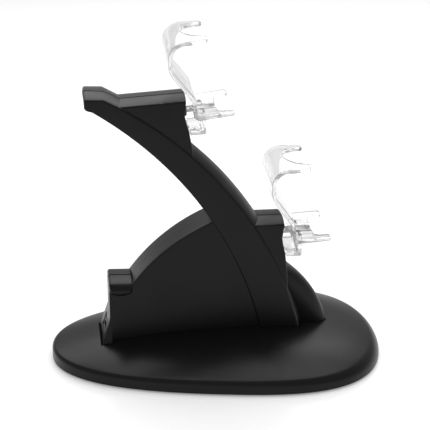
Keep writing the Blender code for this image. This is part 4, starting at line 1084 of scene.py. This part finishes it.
def flat_pattern(length):
    """The strip laid flat: (s, y) corners with radii, from the prongs at s = 0 to the fork."""
    root = PRONG_REACH - PRONG_ROOT
    slot = PLUG_BODY_WIDTH / 2 + GAP
    slot_end = PRONG_REACH - STRIP_FRONT + PLUG_SLOT_PAST_BEND
    half = BRACKET_HALF_WIDTH
    gap = PRONG_GAP_HALF_WIDTH
    side = [(slot_end, -slot, 1.0 * MM), (root, -slot, 1.2 * MM), (root, -gap, 2.5 * MM),
            (0.0, -gap, 1.6 * MM), (0.0, -half, PRONG_CORNER_RADIUS), (length, -half, FORK_CORNER_RADIUS),
            (length, -FORK_NOTCH_HALF_WIDTH, 1.6 * MM)]
    bite = []
    for i in range(1, NOTCH_STEPS):
        a = -math.pi / 2 + math.pi * i / NOTCH_STEPS
        depth = FORK_NOTCH_DEPTH * math.cos(a)
        if depth > NOTCH_LEAST:
            bite.append((length - depth, FORK_NOTCH_HALF_WIDTH * math.sin(a), 0))
    other = [(s, -y, radius) for s, y, radius in reversed(side)]
    return rounded_path(side + bite + other, math.radians(12))


def rounded_sheet(name, outline, thickness, edge):
    """A flat sheet of one outline with rounded edges, from a filled and bevelled 2D curve."""
    curve = bpy.data.curves.new(name, "CURVE")
    curve.dimensions = "2D"
    curve.fill_mode = "BOTH"
    curve.extrude = thickness / 2 - edge
    curve.bevel_depth = edge
    curve.bevel_resolution = 3
    curve.offset = -edge
    spline = curve.splines.new("POLY")
    spline.points.add(len(outline) - 1)
    for place, (x, y) in zip(spline.points, outline):
        place.co = (x, y, 0.0, 1.0)
    spline.use_cyclic_u = True
    return bake(in_scene(name, curve))


def weld(data):
    bmesh.ops.remove_doubles(data, verts=data.verts, dist=WELD)
    bmesh.ops.dissolve_degenerate(data, edges=data.edges, dist=FLAT_EDGE)


def slice_across(data, places, normal):
    """Cuts the sheet across at each place, so that it can bend there."""
    for place in places:
        everything = data.verts[:] + data.edges[:] + data.faces[:]
        bmesh.ops.bisect_plane(data, geom=everything, dist=SLICE_WELD, plane_co=Vector(normal) * place,
                               plane_no=normal)


def bend_point(point, path, places):
    """Where a point (s, y, n) of the flat strip lies once the strip is bent along its path."""
    s, y, n = point
    i = 0
    while i < len(places) - 2 and places[i + 1] < s:
        i += 1
    share = (s - places[i]) / (places[i + 1] - places[i])
    here = path[i].lerp(path[i + 1], share)

    def normal(k):
        ahead = path[min(k + 1, len(path) - 1)] - path[max(k - 1, 0)]
        return Vector((-ahead.y, ahead.x)).normalized()

    out = normal(i).lerp(normal(i + 1), max(0.0, min(1.0, share))).normalized()
    x, z = here - out * n
    up = max(0.0, min(1.0, (z - BRACKET_WAIST) / (FORK_HEIGHT - BRACKET_WAIST)))
    forward = max(0.0, min(1.0, (x - PRONG_RISE_FROM) / PRONG_RISE_OVER)) if z < 0 else 0.0
    lift = (PRONG_RISE * forward - FORK_DROOP * up) * (y / BRACKET_HALF_WIDTH) ** 2
    return x, y, z + lift


def bent_strip(name):
    path = bracket_profile()
    places = along(path)
    sides = range(1 - SLICES_A_SIDE, SLICES_A_SIDE)

    def bend(data):
        weld(data)
        slice_across(data, places[1:-1], (1, 0, 0))
        slice_across(data, [BRACKET_HALF_WIDTH * i / SLICES_A_SIDE for i in sides], (0, 1, 0))
        weld(data)
        bmesh.ops.triangulate(data, faces=data.faces)
        for vert in data.verts:
            vert.co = bend_point(vert.co, path, places)

    flat = flat_pattern(places[-1])
    return reshape(rounded_sheet(name, flat, BRACKET_THICKNESS, shape().bracket_edge), bend)


def upright_plate(name, corners, half_width):
    """A plate of one side outline (x, z, radius), with rounded edges along its sides."""
    def stand_up(data):
        weld(data)
        for vert in data.verts:
            x, z, y = vert.co
            vert.co = (x, y, z)
        bmesh.ops.triangulate(data, faces=data.faces)

    outline = rounded_path(corners, math.radians(15))
    return reshape(rounded_sheet(name, outline, 2 * half_width, PLATE_EDGE), stand_up)


def bracket_tail(name):
    """The tail below the prongs, and the shelf that runs back from its foot."""
    low = TAIL_BOTTOM
    top = low + BRACKET_THICKNESS
    inner = TAIL_FRONT - BRACKET_THICKNESS
    corners = [(TAIL_REAR, low, 0.5 * MM), (TAIL_FRONT, low, 0.9 * MM), (TAIL_FRONT, PRONG_HEIGHT, 0.1 * MM),
               (inner, PRONG_HEIGHT, 0.1 * MM), (inner, top, 0.8 * MM), (TAIL_REAR, top, 0.5 * MM)]
    return upright_plate(name, corners, TAIL_HALF_WIDTH)


def bracket_tongue(name):
    """The hooked tongue that holds the bracket inside its head."""
    low = TAIL_BOTTOM + TONGUE_PLAY
    top = low + BRACKET_THICKNESS - 2 * TONGUE_PLAY
    rear = -TONGUE_REACH
    hook_front = rear + BRACKET_THICKNESS
    hook_top = low + HOOK_HEIGHT
    corners = [(rear, low, 0.6 * MM), (TONGUE_ROOT, low, 0.1 * MM), (TONGUE_ROOT, top, 0.1 * MM),
               (hook_front, top, 0.5 * MM), (hook_front, hook_top, 0.5 * MM), (rear, hook_top, 0.5 * MM)]
    return upright_plate(name, corners, TONGUE_HALF_WIDTH)


class StationBrackets(bpy.types.Operator):
    """Make the two clear brackets, each a flat pattern bent along its side view"""
    bl_idname = "station.brackets"
    bl_label = "Brackets"

    def execute(self, context):
        for name, (at, tilt) in HEADS.items():
            bracket = bent_strip(f"clear_bracket_{name}")
            added = [bracket_tail(f"{name}_tail"), bracket_tongue(f"{name}_tongue")]
            window = plug_window(f"{name}_tail_window", 0, PRONG_ROOT)
            combine(bracket, added, "UNION", "MANIFOLD")
            combine(bracket, [window], "DIFFERENCE", "MANIFOLD")
            bracket = turned_to(bake(bracket, BRACKET_SMOOTH), at, tilt)
            discard(added + [window])
            dress(bracket, material("clear_plastic"), [f"bracket_{name}"])
        return {"FINISHED"}


# Plugs and inlet

def connector(name, section, wall, start, end, height=0.0):
    """A flat connector, narrower below than above, of one section (width, height, foot, corner)."""
    width, rise, foot, corner = section
    half = width / 2
    top = rise / 2
    shoulder = -top * CONNECTOR_SHOULDER
    corners = [(-half, top, corner), (-half, shoulder, corner), (-half + foot, -top, corner),
               (half - foot, -top, corner), (half, shoulder, corner), (half, top, corner)]
    outline = inset(rounded_path(corners, math.radians(20)), wall)
    return loft(name, [[(x, y, height + z) for y, z in outline] for x in (start, end)])


def finish_connector(piece, at, tilt, nodes, slot):
    dress(turned_to(bake(piece), at, tilt), material(slot), nodes)


class StationPlugs(bpy.types.Operator):
    """Make the small metal plugs, their black mouldings and the tongues inside them"""
    bl_idname = "station.plugs"
    bl_label = "Plugs"

    def execute(self, context):
        for name, (at, tilt) in HEADS.items():
            self.make_shell(name, at, tilt)
            self.make_moulding(name, at, tilt)
            self.make_tongue(name, at, tilt)
        return {"FINISHED"}

    def make_shell(self, name, at, tilt):
        section = (PLUG_WIDTH, PLUG_THICKNESS, PLUG_FOOT, PLUG_CORNER)
        shell = connector(f"plug_sleeve_{name}", section, 0.0, SLEEVE_ROOT, PLUG_TIP, PLUG_HEIGHT)
        cuts = [connector("mouth", section, PLUG_WALL, PLUG_TIP - PLUG_MOUTH_DEPTH, PLUG_TIP + 1 * MM,
                          PLUG_HEIGHT)]
        rear, front = (PLUG_TIP - back for back in LATCH_FROM_TIP)
        for side in (-1, 1):
            y = side * LATCH_PLACE
            cuts.append(block(f"latch_{side}", (rear, y - LATCH_HALF_WIDTH, PLUG_HEIGHT),
                              (front, y + LATCH_HALF_WIDTH, PLUG_HEIGHT + 2 * MM)))
        combine(shell, cuts, "DIFFERENCE")
        finish_connector(shell, at, tilt, [f"plug_{name}_shell"], "plug_metal")
        discard(cuts)

    def make_moulding(self, name, at, tilt):
        half_height = PLUG_BODY_HEIGHT / 2
        pocket_height = PLUG_THICKNESS / 2 + GAP
        body = bar(f"plug_moulding_{name}", PLUG_BODY_REAR, MOULDING_FRONT, PLUG_BODY_WIDTH / 2,
                   PLUG_HEIGHT - half_height, PLUG_HEIGHT + half_height)
        pocket = bar("pocket", SLEEVE_ROOT - GAP, MOULDING_FRONT + 2 * MM, PLUG_WIDTH / 2 + GAP,
                     PLUG_HEIGHT - pocket_height, PLUG_HEIGHT + pocket_height)
        combine(round_edges(body, 1.0 * MM, 5), [pocket], "DIFFERENCE")
        finish_connector(body, at, tilt, [f"plug_{name}_body"], "plug_moulding")
        discard([pocket])

    def make_tongue(self, name, at, tilt):
        tongue = bar(f"plug_tongue_{name}", PLUG_TIP - PLUG_MOUTH_DEPTH + 0.05 * MM, PLUG_TIP - 0.7 * MM,
                     PLUG_TONGUE_HALF_WIDTH, PLUG_HEIGHT - 0.3 * MM, PLUG_HEIGHT + 0.15 * MM)
        finish_connector(round_edges(tongue, 0.1 * MM, 2), at, tilt, [], "plug_moulding")


class StationInlet(bpy.types.Operator):
    """Make the power socket in the recess of the rear foot"""
    bl_idname = "station.inlet"
    bl_label = "Power inlet"

    def execute(self, context):
        place = inlet_place()
        end = INLET_RECESS_DEPTH - INLET_STAND_PROUD + INLET_LENGTH
        section = (INLET_WIDTH, INLET_HEIGHT, INLET_FOOT, INLET_CORNER)
        socket = connector("inlet_sleeve", section, 0.0, INLET_RIM, end)
        mouth = connector("mouth", section, INLET_WALL, INLET_RIM - 2 * MM, end - INLET_BACK_WALL)
        combine(socket, [mouth], "DIFFERENCE")
        finish_connector(socket, *place, ["inlet_socket"], "plug_metal")
        discard([mouth])
        tongue = bar("inlet_tongue", INLET_RIM + 0.8 * MM, end - INLET_BACK_WALL - 0.05 * MM,
                     INLET_TONGUE_HALF_WIDTH, -0.35 * MM, 0.65 * MM)
        finish_connector(round_edges(tongue, 0.15 * MM, 2), *place, [], "plug_moulding")
        return {"FINISHED"}


# Screws and feet, one small form set at each place by Geometry Nodes

def scatter_tree(name):
    """Sets one form at each point of the mesh it works on."""
    tree = bpy.data.node_groups.new(name, "GeometryNodeTree")
    wanted = {"Geometry": "Geometry", "Form": "Object", "Size": "Float", "Turn": "Float", "Seed": "Int",
              "Material": "Material"}
    for label, kind in wanted.items():
        tree.interface.new_socket(label, in_out="INPUT", socket_type=f"NodeSocket{kind}")
    tree.interface.new_socket("Geometry", in_out="OUTPUT", socket_type="NodeSocketGeometry")
    inputs = add_node(tree, "NodeGroupInput")
    outputs = add_node(tree, "NodeGroupOutput")
    points = add_node(tree, "GeometryNodeMeshToPoints")
    form = add_node(tree, "GeometryNodeObjectInfo")
    turn = add_node(tree, "FunctionNodeRandomValue")
    spin = add_node(tree, "ShaderNodeCombineXYZ")
    place = add_node(tree, "GeometryNodeInstanceOnPoints")
    real = add_node(tree, "GeometryNodeRealizeInstances")
    paint = add_node(tree, "GeometryNodeSetMaterial")
    join(tree,
         (inputs, "Geometry", points, "Mesh"), (points, "Points", place, "Points"),
         (inputs, "Form", form, "Object"), (form, "Geometry", place, "Instance"),
         (inputs, "Turn", turn, RANDOM_MOST), (inputs, "Seed", turn, "Seed"),
         (turn, RANDOM_NUMBER, spin, "Z"), (spin, "Vector", place, "Rotation"),
         (inputs, "Size", place, "Scale"), (place, "Instances", real, "Geometry"),
         (real, "Geometry", paint, "Geometry"), (inputs, "Material", paint, "Material"),
         (paint, "Geometry", outputs, "Geometry"))
    return tree


def scatter(name, form, nodes, turn, slot):
    """One mesh of the form, set where each of the nodes is, that stands for all of them."""
    look = material(slot)
    mesh = bpy.data.meshes.new(name)
    mesh.from_pydata([node_foot(node) for node in nodes], [], [])
    made = in_scene(name, mesh)
    tree = scatter_tree(f"{name}_places")
    step = made.modifiers.new("places", "NODES")
    step.node_group = tree
    values = {"Form": form, "Size": 1.0, "Turn": turn, "Seed": SCATTER_SEED, "Material": look}
    for item in tree.interface.items_tree:
        if item.in_out == "INPUT" and item.name in values:
            step[item.identifier] = values[item.name]
    made = bake(made)
    discard([form])
    dress(made, look, nodes)


def node_foot(node):
    """The middle of a node's lowest face."""
    low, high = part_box(node)
    return ((low[0] + high[0]) / 2, (low[1] + high[1]) / 2, low[2])


def screw_form():
    """A pan-head screw, head down, with a cross recess and a threaded shank."""
    head = SCREW_HEAD_HEIGHT
    crest = SCREW_SHANK_RADIUS
    root = crest * THREAD_ROOT
    profile = [(SCREW_HEAD_RADIUS * 0.55, 0.0), (SCREW_HEAD_RADIUS * 0.86, 0.12 * MM),
               (SCREW_HEAD_RADIUS, 0.42 * MM), (SCREW_HEAD_RADIUS, head), (crest, head)]
    z = head + THREAD_START
    while z < SCREW_LENGTH - THREAD_END:
        profile += [(crest, z), (root, z + THREAD_PITCH / 2)]
        z += THREAD_PITCH
    profile += [(root, SCREW_LENGTH - 1.2 * MM), (crest * 0.1, SCREW_LENGTH)]
    screw = turned("screw_form", profile)
    arms = []
    for width, length in ((RECESS_WIDTH, RECESS_LENGTH), (RECESS_LENGTH, RECESS_WIDTH)):
        arms.append(bar("recess_arm", -width / 2, width / 2, length / 2, -1 * MM, RECESS_DEPTH))
    combine(screw, arms, "DIFFERENCE")
    screw = bake(screw)
    discard(arms)
    return screw


def foot_form():
    radius = FOOT_RADIUS
    profile = [(radius * 0.55, 0.0), (radius - 0.5 * MM, 0.0), (radius - 0.15 * MM, 0.12 * MM),
               (radius, 0.4 * MM), (radius, FOOT_THICKNESS)]
    return turned("foot_form", profile, 64)


class StationFasteners(bpy.types.Operator):
    """Set the screws and the rubber feet under the base"""
    bl_idname = "station.fasteners"
    bl_label = "Screws and feet"

    def execute(self, context):
        screws = [f"{kind}_screw_{i}" for kind in ("tray", "stand") for i in range(1, 5)]
        feet = ["foot_rear_left", "foot_rear_right", "foot_front_left", "foot_front_right"]
        scatter("screws", screw_form(), screws, math.pi, "screw_steel")
        scatter("feet", foot_form(), feet, 0.0, "foot_rubber")
        return {"FINISHED"}


class StationInsides(bpy.types.Operator):
    """Give the pieces that keep their solids their own materials"""
    bl_idname = "station.insides"
    bl_label = "Tray, boards, lamps and leads"

    def execute(self, context):
        looks = {"base_tray": "tray_plastic", "inlet_board": "board_green",
                 "charge_board_upper": "board_green", "charge_board_lower": "board_green",
                 "lamp_upper": "lamp", "lamp_lower": "lamp",
                 "lead_upper": "lead_sheath", "lead_lower": "lead_sheath"}
        for node, look in looks.items():
            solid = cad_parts[node]
            for slot in solid.material_slots:
                slot.material = material(look)
            if not solid.material_slots:
                raise RuntimeError(f"{node} has no material slot")
        return {"FINISHED"}


# Stage

def seen_by(tree, *rays):
    """One for what these kinds of ray see, nought for the light that a surface gathers."""
    path = add_node(tree, "ShaderNodeLightPath")
    seen = path.outputs[rays[0]]
    for ray in rays[1:]:
        either = add_node(tree, "ShaderNodeMath", operation="MAXIMUM")
        tree.links.new(seen, either.inputs[0])
        tree.links.new(path.outputs[ray], either.inputs[1])
        seen = either.outputs["Value"]
    return seen


def mix_shaders(tree, share, first, second, output):
    """The first shader where the share is nought, and the second where it is one."""
    mix = add_node(tree, "ShaderNodeMixShader")
    tree.links.new(share, mix.inputs["Fac"])
    join(tree, (first, 0, mix, 1), (second, 0, mix, 2), (mix, "Shader", tree.nodes[output], "Surface"))


def stage_material():
    """White floor that keeps the object's shadow, and is plain white through clear plastic."""
    made, tree, shader = new_material("stage_white", FLOOR_LOOK)
    lift = add_node(tree, "ShaderNodeMath", {1: FLOOR_LIFT}, operation="MULTIPLY")
    tree.links.new(seen_by(tree, "Is Camera Ray", "Is Glossy Ray"), lift.inputs[0])
    join(tree, (lift, "Value", shader, "Emission Strength"))
    plain = add_node(tree, "ShaderNodeEmission", {"Strength": FLOOR_THROUGH_PLASTIC})
    mix_shaders(tree, seen_by(tree, "Is Transmission Ray"), shader, plain, "Material Output")
    return made


def make_floor():
    def build(data):
        bmesh.ops.create_grid(data, x_segments=2, y_segments=2, size=FLOOR_REACH)
    floor = mesh_object("floor", build)
    floor.data.materials.append(stage_material())


def make_world():
    """Soft light all round, which the camera sees as a white backdrop. In gloss and through plastic
    the backdrop greys upwards."""
    world = bpy.data.worlds.new("studio")
    bpy.context.scene.world = world
    world.use_nodes = True
    tree = world.node_tree
    lit = tree.nodes["Background"]
    lit.inputs["Color"].default_value = WHITE
    lit.inputs["Strength"].default_value = WORLD_LIGHT
    seen = add_node(tree, "ShaderNodeBackground", {"Strength": 1.0})
    place = add_node(tree, "ShaderNodeTexCoord")
    parts = add_node(tree, "ShaderNodeSeparateXYZ")
    fade = add_node(tree, "ShaderNodeMapRange", BACKDROP_FADE, interpolation_type="SMOOTHSTEP")
    plain = add_node(tree, "ShaderNodeMath", operation="MAXIMUM")
    tree.links.new(seen_by(tree, "Is Camera Ray"), plain.inputs[1])
    join(tree,
         (place, "Generated", parts, "Vector"), (parts, "Z", fade, "Value"),
         (fade, "Result", plain, 0), (plain, "Value", seen, "Color"))
    straight = seen_by(tree, "Is Camera Ray", "Is Glossy Ray", "Is Transmission Ray")
    mix_shaders(tree, straight, lit, seen, "World Output")


def make_lamp(name, at, aim, size, power):
    light = bpy.data.lights.new(name, "AREA")
    light.shape = "RECTANGLE"
    light.size, light.size_y = size
    light.energy = power
    lamp = in_scene(name, light)
    lamp.location = at
    lamp.rotation_euler = (Vector(aim) - Vector(at)).to_track_quat("-Z", "Y").to_euler()


def make_camera():
    level = math.cos(CAMERA_RISE)
    back = Vector((math.sin(CAMERA_TURN) * level, -math.cos(CAMERA_TURN) * level, math.sin(CAMERA_RISE)))
    data = bpy.data.cameras.new("view")
    data.sensor_width = SENSOR_WIDTH
    data.lens = FOCAL_PIXELS / PICTURE_SIDE * SENSOR_WIDTH
    data.clip_start = CAMERA_CLIP
    camera = in_scene("view", data)
    camera.location = Vector(CAMERA_AIM) + back * CAMERA_DISTANCE
    camera.rotation_euler = (-back).to_track_quat("-Z", "Y").to_euler()
    bpy.context.scene.camera = camera


class StationStage(bpy.types.Operator):
    """Make the floor, the studio light and the camera"""
    bl_idname = "station.stage"
    bl_label = "Stage"

    def execute(self, context):
        make_floor()
        make_world()
        for name, lamp in LAMPS.items():
            make_lamp(name, **lamp)
        make_camera()
        bpy.context.scene.view_settings.view_transform = "Standard"
        return {"FINISHED"}


class StationPanel(bpy.types.Panel):
    """Sizes, colours and pieces of the charging station"""
    bl_idname = "VIEW3D_PT_station"
    bl_label = "Charging station"
    bl_space_type = "VIEW_3D"
    bl_region_type = "UI"
    bl_category = "Charging station"

    def draw(self, context):
        layout = self.layout
        for group in (context.scene.station_finish, context.scene.station_shape):
            for name in group.bl_rna.properties.keys():
                if name not in {"rna_type", "name"}:
                    layout.prop(group, name)
        for operator in PIECES:
            layout.operator(operator.bl_idname)


PIECES = (StationStage, StationBase, StationStand, StationBrackets, StationPlugs, StationInlet,
          StationFasteners, StationInsides)
CLASSES = (StationFinish, StationShape) + PIECES + (StationPanel,)


def register():
    for item in CLASSES:
        bpy.utils.register_class(item)
    bpy.types.Scene.station_finish = PointerProperty(type=StationFinish)
    bpy.types.Scene.station_shape = PointerProperty(type=StationShape)


def unregister():
    del bpy.types.Scene.station_shape
    del bpy.types.Scene.station_finish
    for item in reversed(CLASSES):
        bpy.utils.unregister_class(item)


def main():
    register()
    bpy.ops.station.stage()
    bpy.ops.station.base()
    bpy.ops.station.stand()
    bpy.ops.station.brackets()
    bpy.ops.station.plugs()
    bpy.ops.station.inlet()
    bpy.ops.station.fasteners()
    bpy.ops.station.insides()


if __name__ == "__main__":
    main()
